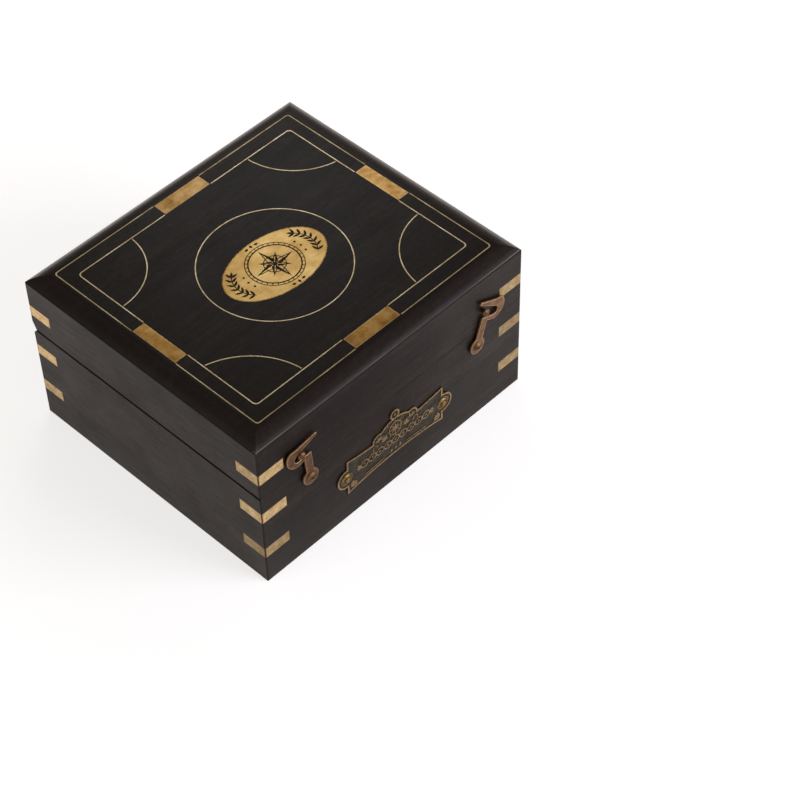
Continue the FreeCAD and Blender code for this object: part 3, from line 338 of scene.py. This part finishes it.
def makeVelvet(name, look):
    # short-pile cotton velvet: deep red that pales where the nap is brushed, no gloss, a soft rim sheen
    material, tree, shader, place = startMaterial(name)
    nap = addNode(tree, "TexNoise", {"Vector": place, "Scale": perMetre(look["napSize"]), "Detail": 4.0,
                                     "Distortion": 1.2})
    pile = addNode(tree, "TexNoise", {"Vector": place, "Scale": perMetre(look["pileSize"]), "Detail": 2.0})
    mixed = addNode(tree, "Mix", [look["pileShare"], nap, pile])
    colour = addNode(tree, "ValToRGB", [mixed], stops=toneStops(look))
    bump = addNode(tree, "Bump", {"Height": pile, "Strength": look["bump"],
                                  "Distance": look["bumpHeight"] * mm})
    feed(tree, shader, {"Base Color": colour, "Normal": bump, "Roughness": look["roughness"],
                        "Specular IOR Level": look["specular"], "Sheen Weight": look["sheen"],
                        "Sheen Roughness": look["sheenRoughness"], "Sheen Tint": linearColour(look["rim"])})
    return material


redVelvet = makeVelvet("redVelvet", velvetLook)

fillingLook = {"colour": "#1c1812", "showing": "#5c4a2c", "wearSize": 1.1, "wearFrom": 0.55, "wearTo": 0.75,
               "wearAmount": 0.6, "roughness": 0.6, "specular": 0.2}


def makeFilling(name, look):
    # black filling rubbed into the etched lines: dull, with a little brass showing through
    material, tree, shader, place = startMaterial(name)
    wear = addNode(tree, "TexNoise", {"Vector": place, "Scale": perMetre(look["wearSize"]), "Detail": 4.0})
    wear = addNode(tree, "MapRange", [wear, look["wearFrom"], look["wearTo"], 0.0, look["wearAmount"]])
    colour = addNode(tree, "Mix", [wear, linearColour(look["colour"]), linearColour(look["showing"])],
                     data_type="RGBA")
    feed(tree, shader, {"Base Color": colour, "Roughness": look["roughness"],
                        "Specular IOR Level": look["specular"]})
    return material


etchedBlack = makeFilling("etchedBlack", fillingLook)
print("materials")


def paint(nodeName, material):
    slots = nodes[nodeName].data.materials
    slots.clear()
    slots.append(material)


for nodeName in nodes:
    if nodeName.endswith("_board"):
        side = nodeName.split("_")[1]
        paint(nodeName, {"front": frontWood, "back": backWood}.get(side, sideWood))
    if nodeName == "lid_top_panel":
        paint(nodeName, mouldedWood)
    if nodeName == "base_bottom_panel":
        paint(nodeName, backWood)
    if nodeName.startswith("hook_washer"):
        paint(nodeName, hookBronze)
    if nodeName.startswith("hinge"):
        paint(nodeName, hingeBrass)
print("wood and hinges")


def activate(item):
    for other in bpy.context.selected_objects:
        other.select_set(False)
    item.select_set(True)
    bpy.context.view_layer.objects.active = item


def editAll(item):
    activate(item)
    bpy.ops.object.mode_set(mode="EDIT")
    bpy.ops.mesh.select_mode(type="FACE")
    bpy.ops.mesh.select_all(action="SELECT")


def leaveEdit():
    bpy.ops.object.mode_set(mode="OBJECT")


def applyModifier(item, kind, **settings):
    modifier = item.modifiers.new(kind.lower(), kind)
    for name, value in settings.items():
        setattr(modifier, name, value)
    activate(item)
    bpy.ops.object.modifier_apply(modifier=modifier.name)


def copyOf(item):  # a copy with its own mesh
    copy = item.copy()
    copy.data = item.data.copy()
    bpy.context.scene.collection.objects.link(copy)
    return copy


def settle(piece, material, body, slot, *replaced):  # the finish and the body of a finished piece; slot is not used
    piece.data.materials.clear()
    piece.data.materials.append(material)
    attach(piece, body)
    if replaced:
        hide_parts(*replaced)


upward = [(0, 0, 1)]
forward = [(0, -1, 0)]
sideways = [(0, -1, 0), (0, 1, 0), (-1, 0, 0), (1, 0, 0)]
# in mm: the lid's strips lie above the first height, the base's upper strips above the second
stripLevels = (68, 38)


def evenly(amount):  # the same light and polish on both runs of a piece and at every level
    return ((amount,) * 3,) * 2


meshCare = {"mergeWithin": 0.002, "flatWithin": 0.4, "easeAbove": 35, "smoothBelow": 40}  # mm, then degrees
faceOn = 0.99  # how closely a face has to look the wanted way, 1 being exactly

# how bright each corner strip is painted, on its front or back run and on its side run, from the lid down:
# partly painted light, the runs facing different ways being lit differently, and partly polish
stripLightAndPolish = {
    "front_left": ((1.45, 1.3, 0.7), (0.82, 0.98, 0.6)), "front_right": ((0.72, 0.6, 0.7), (0.9, 0.8, 1.0)),
    "back_left": ((0.9, 1.0, 0.8), (1.03, 1.08, 0.9)), "back_right": ((0.8, 0.95, 0.75), (1.0, 0.85, 0.9)),
}
# how bright each bar is painted: partly painted light, partly polish
barLightAndPolish = {"front": evenly(0.81), "left": evenly(0.92), "back": evenly(0.72), "right": evenly(1.0)}
# ease, border, sink and proud are in mm; area is the smallest face in square mm that gets a border
plain = {"segments": 2, "edge": 1.0, "border": 0, "sink": 0, "area": 4, "single": False,
         "proud": None, "lightAndPolish": None}
dressing = {
    "bar": {"ease": 0.15, "border": 0.7, "facing": upward, "lightAndPolish": barLightAndPolish},
    "line": {"ease": 0.12, "edge": 0.0},
    "strip": {"ease": 0.12, "border": 0.3, "facing": sideways, "single": True, "lightAndPolish": stripLightAndPolish},
    "medallion": {"ease": 0.15, "border": 0.8, "sink": 0.06, "facing": upward},
    # the hooks' rims take the pale edge colour: partly a painted highlight
    "hook": {"ease": 0.28, "segments": 3, "border": 0.5, "facing": forward, "area": 0.05},
    "screw": {"ease": 0.12, "edge": 0.25},
    "plate": {"ease": 0.1, "proud": -90.62},
    "block": {"ease": 0.6, "segments": 3, "edge": 0.0},
}
dressed = [
    ("bar", barBrass, ["lid_bar_inlay_front", "lid_bar_inlay_left"]),
    ("bar", paleBarBrass, ["lid_bar_inlay_back", "lid_bar_inlay_right"]),
    ("line", dullLineBrass, ["lid_line_inlay_outer"]),
    ("line", lineBrass, ["lid_line_inlay_inner", "lid_ring_inlay", "lid_corner_arc_inlays"]),
    ("strip", stripBrass, [part + "_corner_inlay_" + corner for part in ("base", "lid")
                           for corner in ("front_left", "front_right", "back_left", "back_right")]),
    ("medallion", medallionBrass, ["lid_medallion"]),
    ("hook", hookBronze, ["hook_left", "hook_right"]),
    ("screw", studBronze, [part + side for part in ("hook_pivot_screw_", "hook_stud_")
                           for side in ("left", "right")]),
    ("screw", pinBrass, ["nameplate_pins"]),
    ("plate", plateBrass, ["nameplate"]),
    ("block", blockWood, ["rest_block_back_left", "rest_block_back_right", "rest_block_front"]),
]


def lightAndPolishAt(vertex, runs):
    x, y, z = (abs(value) / mm for value in vertex.co)
    run = runs[0] if case["halfDepth"] - y < case["halfWidth"] - x else runs[1]
    return run[0 if z > stripLevels[0] else 1 if z > stripLevels[1] else 2]


def dressNode(nodeName, material, look):
    # a copy of a CAD piece, its triangles merged, its edges eased, its outer faces given a rubbed border
    source = nodes[nodeName]
    piece = bpy.data.objects.new(nodeName + "_eased", source.data.copy())
    bpy.context.scene.collection.objects.link(piece)
    editAll(piece)
    bpy.ops.mesh.customdata_custom_splitnormals_clear()
    bpy.ops.mesh.remove_doubles(threshold=meshCare["mergeWithin"] * mm)
    bpy.ops.mesh.dissolve_limited(angle_limit=math.radians(meshCare["flatWithin"]))
    bpy.ops.mesh.normals_make_consistent(inside=False)
    leaveEdit()
    applyModifier(piece, "BEVEL", width=look["ease"] * mm, segments=look["segments"], limit_method="ANGLE",
                  angle_limit=math.radians(meshCare["easeAbove"]), use_clamp_overlap=False)
    mesh = piece.data
    rubbed = mesh.attributes.new("rubbed", "FLOAT", "POINT")
    for i, vertex in enumerate(mesh.vertices):
        sunk = look["proud"] is not None and vertex.co.y > look["proud"] * mm
        rubbed.data[i].value = 0.0 if sunk else look["edge"]
    if look["border"]:
        facing = [Vector(way) for way in look["facing"]]
        bpy.context.tool_settings.mesh_select_mode = (False, False, True)
        for face in mesh.polygons:
            large = face.area > look["area"] * mm * mm
            face.select = large and any(face.normal.dot(way) > faceOn for way in facing)
        activate(piece)
        bpy.ops.object.mode_set(mode="EDIT")
        bpy.ops.mesh.inset(thickness=look["border"] * mm, depth=-look["sink"] * mm,
                           use_individual=look["single"])
        leaveEdit()
        rubbed = mesh.attributes["rubbed"]
        for face in mesh.polygons:
            if face.select:
                for i in face.vertices:
                    rubbed.data[i].value = 0.0
    if look["lightAndPolish"]:
        runs = look["lightAndPolish"][nodeName.split("inlay_")[1]]
        lightAndPolish = mesh.attributes.new("lightAndPolish", "FLOAT", "POINT")
        for i, vertex in enumerate(mesh.vertices):
            lightAndPolish.data[i].value = lightAndPolishAt(vertex, runs) - 1
    activate(piece)
    bpy.ops.object.shade_smooth_by_angle(angle=math.radians(meshCare["smoothBelow"]))
    applyModifier(piece, "WEIGHTED_NORMAL", keep_sharp=True)
    settle(piece, material, bodyOf[nodeName], slotOf[nodeName], nodeName)


for kind, material, names in dressed:
    for nodeName in names:
        dressNode(nodeName, material, {**plain, **dressing[kind]})
print("dressed pieces")


def around(radius, angle):  # the point at an angle in degrees on a circle about 0, 0
    return radius * math.cos(math.radians(angle)), radius * math.sin(math.radians(angle))


def flatShape(corners, thickness):
    # a flat outline in mm, raised from z = 0 to a thickness
    bpy.ops.mesh.primitive_circle_add(vertices=len(corners), radius=mm, fill_type="NGON")
    shape = bpy.context.active_object
    for vertex, (u, v) in zip(shape.data.vertices, corners):
        vertex.co = (u * mm, v * mm, 0)
    editAll(shape)
    bpy.ops.mesh.extrude_region_move(TRANSFORM_OT_translate={"value": (0, 0, thickness * mm)})
    bpy.ops.mesh.select_all(action="SELECT")
    bpy.ops.mesh.normals_make_consistent(inside=False)
    leaveEdit()
    return shape


arcSteps = {"fewest": 3, "longest": 0.5, "perRadian": 5}  # the longest step is in mm


def arcStrip(centre, radius, start, end, width, thickness):
    # a strip of square section spun through an arc about a centre, closed at its ends; angles in degrees
    bpy.ops.mesh.primitive_plane_add(size=mm)
    strip = bpy.context.active_object
    for vertex, (side, height) in zip(strip.data.vertices, ((-1, 0), (1, 0), (-1, 1), (1, 1))):
        u, v = around(radius + side * width / 2, start)
        vertex.co = ((centre[0] + u) * mm, (centre[1] + v) * mm, height * thickness * mm)
    editAll(strip)
    bpy.ops.mesh.delete(type="ONLY_FACE")
    bpy.ops.mesh.select_mode(type="EDGE")
    bpy.ops.mesh.select_all(action="SELECT")
    turn = math.radians(end - start)
    steps = max(arcSteps["fewest"], int(turn * radius / arcSteps["longest"]),
                int(turn * arcSteps["perRadian"]))
    bpy.ops.mesh.spin(steps=steps, angle=-turn, center=(centre[0] * mm, centre[1] * mm, 0), axis=(0, 0, 1))
    bpy.ops.mesh.select_all(action="SELECT")
    bpy.ops.mesh.remove_doubles(threshold=0.001 * mm)
    if end - start < 360:
        bpy.ops.mesh.fill_holes(sides=4)
    bpy.ops.mesh.select_all(action="SELECT")
    bpy.ops.mesh.normals_make_consistent(inside=False)
    leaveEdit()
    return strip


heightStep = 0.05  # the share by which neighbours differ in height, so that crossing faces share no plane


def repeat(shape, places, drop=0.0):
    # one shape at every (u, v, degrees)
    copies = [shape] + [copyOf(shape) for _ in places[1:]]
    for i, (copy, (u, v, turn)) in enumerate(zip(copies, places)):
        copy.location = (u * mm, v * mm, 0)
        copy.rotation_euler = (0, 0, math.radians(turn))
        copy.scale.z = 1 - drop - heightStep * (i % 3)
    return copies


def mirrorAcross(shapes):
    # the shapes, and the same ones again on the other side of u = 0
    for shape in list(shapes):
        twin = copyOf(shape)
        activate(twin)
        bpy.ops.object.transform_apply(location=True, rotation=True, scale=True)
        twin.scale.x = -1
        bpy.ops.object.transform_apply(location=False, rotation=False, scale=True)
        editAll(twin)
        bpy.ops.mesh.normals_make_consistent(inside=False)
        leaveEdit()
        shapes.append(twin)
    return shapes


def joinAll(shapes, name):
    activate(shapes[0])
    for shape in shapes:
        shape.select_set(True)
    bpy.ops.object.join()
    piece = bpy.context.active_object
    piece.name = name
    piece.data.name = name
    return piece


def putInPlace(piece, location, turn=(0, 0, 0)):
    # moves the finished mesh itself, so that its object stays at the origin
    activate(piece)
    bpy.ops.object.transform_apply(location=True, rotation=True, scale=True)
    piece.location = [value * mm for value in location]
    piece.rotation_euler = [math.radians(angle) for angle in turn]
    bpy.ops.object.transform_apply(location=True, rotation=True, scale=True)


def ringOfPoints(radius, count):
    return [around(radius, 360 * i / count) for i in range(count)]


def leafCorners(length, width, rows=5, belly=0.85):
    # a pointed leaf from its foot at 0, 0 along +v, widest below its middle where belly is under 1
    side = [(width / 2 * math.sin(math.pi * (i / rows) ** belly), length * i / rows) for i in range(1, rows)]
    return [(0, 0)] + side + [(0, length)] + [(-u, v) for u, v in reversed(side)]


def diamond(halfWidth, halfHeight):
    return [(0, -halfHeight), (halfWidth, 0), (0, halfHeight), (-halfWidth, 0)]


def stick(halfWidth, low, high):
    return [(-halfWidth, low), (halfWidth, low), (halfWidth, high), (-halfWidth, high)]


# all in mm about the medallion's centre; places are (u, v, degrees)
rose = {
    "centre": (-1.6, -2.75, 108.41), "thickness": 0.06,
    "points": [(13.2, 2.3, 0), (9.0, 1.8, 45)],  # reach, waist and first angle of each four points
    "foot": 0.9, "shoulder": 0.3, "outline": 0.6, "tip": 0.02,
    "rings": [(6.2, 0.55), (14.6, 0.8), (16.4, 0.5)],
    "hub": (1.4, 16),  # radius and corners
    "tickMiddle": 15.5, "tickPitch": 11, "tick": (0.22, -0.9, 0.9),
    "leaf": (4.6, 1.5), "leafPairs": 7, "leafTurn": 46, "leafShare": 0.9375,
    "stemCentre": 13.0, "stemRadius": 14.0, "stemWidth": 0.6, "stemSpread": 44,
    "dot": (0.7, 12), "dots": [(19.6, 0, 0), (19.0, 4.4, 0), (19.0, -4.4, 0)],
    "diamond": (0.9, 1.5),
    "diamonds": [(0, 19.0, 0), (0, -19.0, 0), (3.4, 18.6, 80), (-3.4, 18.6, 100),
                 (3.4, -18.6, 100), (-3.4, -18.6, 80)],
}


def engraveMedallion():
    # a compass rose between two sprays of leaves, etched and filled with black
    high = rose["thickness"]
    line = rose["outline"]
    parts = []
    for reach, waist, first in rose["points"]:
        turns = [(0, 0, first + 90 * i) for i in range(4)]
        shoulder = waist + rose["shoulder"]
        parts += repeat(flatShape([(0, rose["foot"]), (waist, shoulder), (0, reach)], high), turns)
        slope = line * (reach - waist) / waist
        parts += repeat(flatShape([(-waist, shoulder), (-rose["tip"], reach), (-rose["tip"], reach - slope),
                                   (-waist + line, shoulder + line)], high), turns)
    for radius, width in rose["rings"]:
        parts.append(arcStrip((0, 0), radius, 0, 360, width, high))
    parts.append(flatShape(ringOfPoints(*rose["hub"]), high))
    ticks = [(*around(rose["tickMiddle"], a + 90), a) for a in range(0, 360, rose["tickPitch"])]
    parts += repeat(flatShape(stick(*rose["tick"]), high), ticks)
    spread = rose["stemSpread"]
    spray = [arcStrip((rose["stemCentre"], 0), rose["stemRadius"], -spread, spread, rose["stemWidth"], high)]
    places = []
    for i in range(rose["leafPairs"]):
        angle = spread * rose["leafShare"] * (2 * i / (rose["leafPairs"] - 1) - 1)
        u, v = around(rose["stemRadius"], angle)
        places += [(rose["stemCentre"] + u, v, angle + side * rose["leafTurn"]) for side in (-1, 1)]
    places.append((places[-1][0], places[-1][1], spread))
    spray += repeat(flatShape(leafCorners(*rose["leaf"]), high), places)
    spray += repeat(flatShape(ringOfPoints(*rose["dot"]), high), rose["dots"])
    parts += mirrorAcross(spray)
    parts += repeat(flatShape(diamond(*rose["diamond"]), high), rose["diamonds"])
    piece = joinAll(parts, "medallion_etching")
    putInPlace(piece, rose["centre"])
    settle(piece, etchedBlack, "lid", "medallion_brass")


engraveMedallion()
print("medallion etching")

# u is measured in mm from the plate's middle, v from the box's underside; shares are of the relief's height
relief = {
    "centre": (-1.6, -90.47), "height": 0.33, "rubbed": 0.75,
    "roundness": 0.08, "easeAbove": 50, "smoothBelow": 35,
    "bandMiddle": 34.0, "bandPitch": 6.0, "bandCells": 9, "bandRise": 2.5, "strand": 0.85, "underShare": 0.2,
    "bead": (0.75, 12), "beads": [(0, 53.9, 0), (12.9, 44.2, 0), (-12.9, 44.2, 0)],
    "bud": (3.4, 1.6), "budTurns": (-38, 0, 38),
    # each spray's leaf, foot and angles
    "sprays": [((5.2, 1.9), (34.6, 23.6), (22, 46, 70, 92)), ((5.2, 1.9), (6.2, 40.2), (-88, -62, -36)),
               ((4.0, 1.6), (12.2, 42.2), (-60, -20, 20))],
    "ruleCentre": (0, -180.2), "ruleRadius": 206.0, "ruleWidth": 0.7,
    "ruleRuns": [(92.4, 96.6), (83.4, 87.6)],
    "diamond": (0.9, 1.5), "diamonds": [(0, 27.0, 0), (-3.4, 27.0, 0), (3.4, 27.0, 0)],
    # each scroll's centre, radius, first and last angle, and width
    "scrolls": [((9.3, 41.6), 2.0, 20, 290, 0.65), ((15.6, 38.9), 1.7, -60, 210, 0.6),
                ((4.6, 49.0), 1.3, -100, 150, 0.55)],
    "scrollShare": 0.9,
    "wheelCentre": 43.2, "wheelRadius": 4.6, "wheelWidth": 0.8,
    "rays": 8, "ray": (0.75, 1.2), "peg": (0.35, 0, 1.3),
    "pin": (37.6, 32.5), "earRing": 3.9, "earWidth": 0.5, "earShare": 0.8,
}


def raisePlateRelief():
    # cast ornament on the sunk field: an interlaced band, a star in a pegged ring, leaf sprays, scrolls,
    # a broken rule and a ring round each pin
    high = relief["height"]
    rise, pitch = relief["bandRise"], relief["bandPitch"]
    radius = ((pitch / 2) ** 2 + rise ** 2) / (2 * rise)
    spread = math.degrees(math.asin(pitch / 2 / radius))
    cells = [(i - (relief["bandCells"] - 1) / 2) * pitch for i in range(relief["bandCells"])]
    middle = relief["bandMiddle"]
    parts = []
    for turn, drop in ((0, 0.0), (180, relief["underShare"])):
        strand = arcStrip((0, rise - radius), radius, 90 - spread, 90 + spread, relief["strand"], high)
        parts += repeat(strand, [(u, middle, turn) for u in cells], drop)
    bead = ringOfPoints(*relief["bead"])
    parts += repeat(flatShape(bead, high), [(u, middle, 0) for u in cells])
    bandEnd = cells[-1] + pitch / 2
    parts += mirrorAcross(repeat(flatShape(leafCorners(*relief["bud"]), high),
                                 [(bandEnd, middle, a - 90) for a in relief["budTurns"]]))
    for leaf, foot, angles in relief["sprays"]:
        parts += mirrorAcross(repeat(flatShape(leafCorners(*leaf), high), [(*foot, a) for a in angles]))
    for start, end in relief["ruleRuns"]:
        parts.append(arcStrip(relief["ruleCentre"], relief["ruleRadius"], start, end,
                              relief["ruleWidth"], high))
    parts += repeat(flatShape(diamond(*relief["diamond"]), high), relief["diamonds"])
    parts += mirrorAcross([arcStrip(*scroll, high * relief["scrollShare"]) for scroll in relief["scrolls"]])
    centre, rim = relief["wheelCentre"], relief["wheelRadius"]
    parts.append(arcStrip((0, centre), rim, 0, 360, relief["wheelWidth"], high))
    side, waist = relief["ray"]
    turns = range(0, 360, 360 // relief["rays"])
    parts += repeat(flatShape([(0, 0), (side, waist), (0, rim), (-side, waist)], high),
                    [(0, centre, a) for a in turns])
    pegs = [(*around(rim, a + 90), a) for a in turns]
    parts += repeat(flatShape(stick(*relief["peg"]), high), [(u, centre + v, a) for u, v, a in pegs])
    parts += repeat(flatShape(bead, high), relief["beads"])
    parts += mirrorAcross([arcStrip(relief["pin"], relief["earRing"], 0, 360, relief["earWidth"],
                                    high * relief["earShare"])])
    piece = joinAll(parts, "nameplate_relief")
    applyModifier(piece, "BEVEL", width=relief["roundness"] * mm, segments=2, limit_method="ANGLE",
                  angle_limit=math.radians(relief["easeAbove"]), use_clamp_overlap=False)
    rubbed = piece.data.attributes.new("rubbed", "FLOAT", "POINT")
    for i, vertex in enumerate(piece.data.vertices):
        rubbed.data[i].value = relief["rubbed"] if vertex.co.z > high * mm / 2 else 0.0
    bpy.ops.object.shade_smooth_by_angle(angle=math.radians(relief["smoothBelow"]))
    putInPlace(piece, (*relief["centre"], 0), (90, 0, 0))
    settle(piece, plateBrass, "base", "plate_brass")


raisePlateRelief()
print("plate relief")

padLook = {"cuts": 13, "edgeShare": 0.45, "fullShare": 0.94, "crownPower": 6, "pull": 0.35, "ease": 0.2,
           "easeAbove": 50, "smoothBelow": 60, "ripple": 0.06, "rippleSize": 9}


def makePad(nodeName, facing):
    # a thin velvet pad in its lining's place: full in the middle, pinched to its edges, sides pulled in
    axis, way = facing
    low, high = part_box(nodeName)
    size = high - low
    middle = (high + low) / 2
    bpy.ops.mesh.primitive_cube_add(size=1, location=middle, scale=size)
    pad = bpy.context.active_object
    pad.name = nodeName + "_pad"
    bpy.ops.object.transform_apply(location=True, rotation=True, scale=True)
    editAll(pad)
    bpy.ops.mesh.subdivide(number_cuts=padLook["cuts"])
    leaveEdit()
    wall = (low if way > 0 else high)[axis]
    across = [i for i in range(3) if i != axis]
    for vertex in pad.data.vertices:
        share = [2 * (vertex.co[i] - middle[i]) / size[i] for i in across]
        crown = (1 - abs(share[0]) ** padLook["crownPower"]) * (1 - abs(share[1]) ** padLook["crownPower"])
        wave = noise.noise(vertex.co * perMetre(padLook["rippleSize"])) * padLook["ripple"]
        full = padLook["edgeShare"] + (1 - padLook["edgeShare"]) * crown * (padLook["fullShare"] + wave)
        vertex.co[axis] += (vertex.co[axis] - wall) * (full - 1)
        for k in (0, 1):
            inward = (1 - share[1 - k] ** 2) * padLook["pull"] * mm
            vertex.co[across[k]] -= share[k] * inward
    applyModifier(pad, "BEVEL", width=padLook["ease"] * mm, segments=2, limit_method="ANGLE",
                  angle_limit=math.radians(padLook["easeAbove"]))
    bpy.ops.object.shade_smooth_by_angle(angle=math.radians(padLook["smoothBelow"]))
    settle(pad, redVelvet, bodyOf[nodeName], "velvet", nodeName)


# the axis that each pad faces along, and which way
sideFacing = {"front": (1, 1), "back": (1, -1), "left": (0, 1), "right": (0, -1)}
makePad("base_floor_lining", (2, 1))
makePad("lid_top_lining", (2, -1))
for part in ("base", "lid"):
    for side, facing in sideFacing.items():
        makePad(part + "_lining_" + side, facing)
print("velvet linings")

# lengths and places in metres, power in watts
studio = {
    "openWidth": 0.199, "openDepth": 0.179, "floorSpread": 60, "floorColour": "#d8d8d8",
    "floorRoughness": 0.9, "floorShows": 0.7, "glossTint": "#fff6f0",
    "dim": {"centre": (0.0, -0.235, 0.0), "from": 0.08, "to": 0.16, "level": 0.0, "nearLevel": 0.62,
            "farFrom": 0.36, "farTo": 0.6, "farExtra": 0.78},
    "skyLeft": 0.25, "skyRight": 0.7, "skyTop": 0.16, "skyAcross": 0.8, "skyLow": 0.05, "skyHigh": 0.75,
    "skyTint": "#fff2e6",
    "target": (0, 0, 0.05),
    "keyLamp": {"location": (0.75, -1.45, 0.66), "size": 1.1, "power": 20, "tint": "#f6f4ff"},
    "backLamp": {"location": (0.38, 0.44, 0.54), "size": 0.3, "power": 0.55, "tint": "#ffffff"},
    "fillLamp": {"location": (-1.6, 0.4, 0.8), "size": 1.4, "power": 6, "tint": "#fff6ee"},
}


def makeFloor():
    # a wide frame round the box's underside, so that the underside can be seen from below
    bpy.ops.mesh.primitive_plane_add(size=1, location=(0, 0, 0))
    floor = bpy.context.active_object
    floor.name = "studioFloor"
    floor.scale = (studio["openWidth"], studio["openDepth"], 1)
    activate(floor)
    bpy.ops.object.transform_apply(location=True, rotation=True, scale=True)
    editAll(floor)
    bpy.ops.mesh.delete(type="ONLY_FACE")
    bpy.ops.mesh.select_mode(type="EDGE")
    bpy.ops.mesh.select_all(action="SELECT")
    bpy.ops.mesh.extrude_region_move(TRANSFORM_OT_translate={"value": (0, 0, 0)})
    bpy.ops.transform.resize(value=(studio["floorSpread"], studio["floorSpread"], 1))
    leaveEdit()
    material, tree, shader, place = startMaterial("paleFloor")
    feed(tree, shader, {"Base Color": linearColour(studio["floorColour"]),
                        "Roughness": studio["floorRoughness"], "Specular IOR Level": 0.0})
    path = addNode(tree, "LightPath")
    seen = addNode(tree, "Math", [path.outputs["Is Camera Ray"], path.outputs["Is Transmission Ray"]],
                   operation="MAXIMUM")
    # gloss sees a duller patch of floor in front of the box, which keeps the front face dark
    dim = studio["dim"]
    away = addNode(tree, "VectorMath", [place, dim["centre"]], operation="DISTANCE")
    near = addNode(tree, "MapRange", [away, dim["from"], dim["to"], dim["level"], dim["nearLevel"]],
                   interpolation_type="SMOOTHSTEP")
    far = addNode(tree, "MapRange", [away, dim["farFrom"], dim["farTo"], 0.0, dim["farExtra"]])
    gloss = addNode(tree, "Math", [near, far], operation="ADD")
    gloss = addNode(tree, "Math", [gloss, path.outputs["Is Glossy Ray"]], operation="MULTIPLY")
    strength = addNode(tree, "Math", [seen, studio["floorShows"], gloss], operation="MULTIPLY_ADD")
    white = (1, 1, 1, 1)
    tint = addNode(tree, "Mix", [path.outputs["Is Glossy Ray"], white, linearColour(studio["glossTint"])],
                   data_type="RGBA")
    glow = addNode(tree, "Emission", [tint, strength])
    feed(tree, tree.nodes["Material Output"], {"Surface": addNode(tree, "AddShader", [shader, glow])})
    floor.data.materials.append(material)


def makeSky():
    # a soft room: brighter low down on the right, dimmer overhead and on the left
    world = bpy.data.worlds.new("softSky")
    world.use_nodes = True
    bpy.context.scene.world = world
    tree = world.node_tree
    direction = addNode(tree, "SeparateXYZ", [addNode(tree, "TexCoord").outputs["Generated"]])
    across = studio["skyAcross"]
    low = addNode(tree, "MapRange", [direction.outputs["X"], -across, across,
                                     studio["skyLeft"], studio["skyRight"]])
    up = addNode(tree, "MapRange", [direction.outputs["Z"], studio["skyLow"], studio["skyHigh"]])
    level = addNode(tree, "Mix", [up, low, studio["skyTop"]])
    seen = addNode(tree, "LightPath").outputs["Is Camera Ray"]
    tint = addNode(tree, "Mix", [seen, linearColour(studio["skyTint"]), (1, 1, 1, 1)], data_type="RGBA")
    shown = addNode(tree, "Mix", [seen, level, 1.0])
    feed(tree, tree.nodes["Background"], {"Color": tint, "Strength": shown})


def makeLamp(name):
    look = studio[name]
    bpy.ops.object.light_add(type="AREA", location=look["location"])
    lamp = bpy.context.active_object
    lamp.name = name
    lamp.data.size = look["size"]
    lamp.data.energy = look["power"]
    lamp.data.color = linearColour(look["tint"])[:3]
    aim = Vector(studio["target"]) - Vector(look["location"])
    lamp.rotation_euler = aim.to_track_quat("-Z", "Y").to_euler()


makeFloor()
makeSky()
for name in ("keyLamp", "backLamp", "fillLamp"):
    makeLamp(name)

# lens and sensor in mm, place in metres, turn in degrees
cameraLook = {"lens": 105.9369, "sensor": 36, "nearest": 0.01, "location": (-0.586550, -0.680373, 0.994349),
              "turn": (41.863619, 1.107616, -46.105579)}
cameraData = bpy.data.cameras.new("photoCamera")
cameraData.lens = cameraLook["lens"]
cameraData.sensor_width = cameraLook["sensor"]
cameraData.clip_start = cameraLook["nearest"]
camera = bpy.data.objects.new("photoCamera", cameraData)
camera.location = cameraLook["location"]
camera.rotation_euler = [math.radians(angle) for angle in cameraLook["turn"]]
bpy.context.scene.collection.objects.link(camera)
bpy.context.scene.camera = camera
bpy.context.scene.view_settings.view_transform = "Standard"
print("studio and camera")
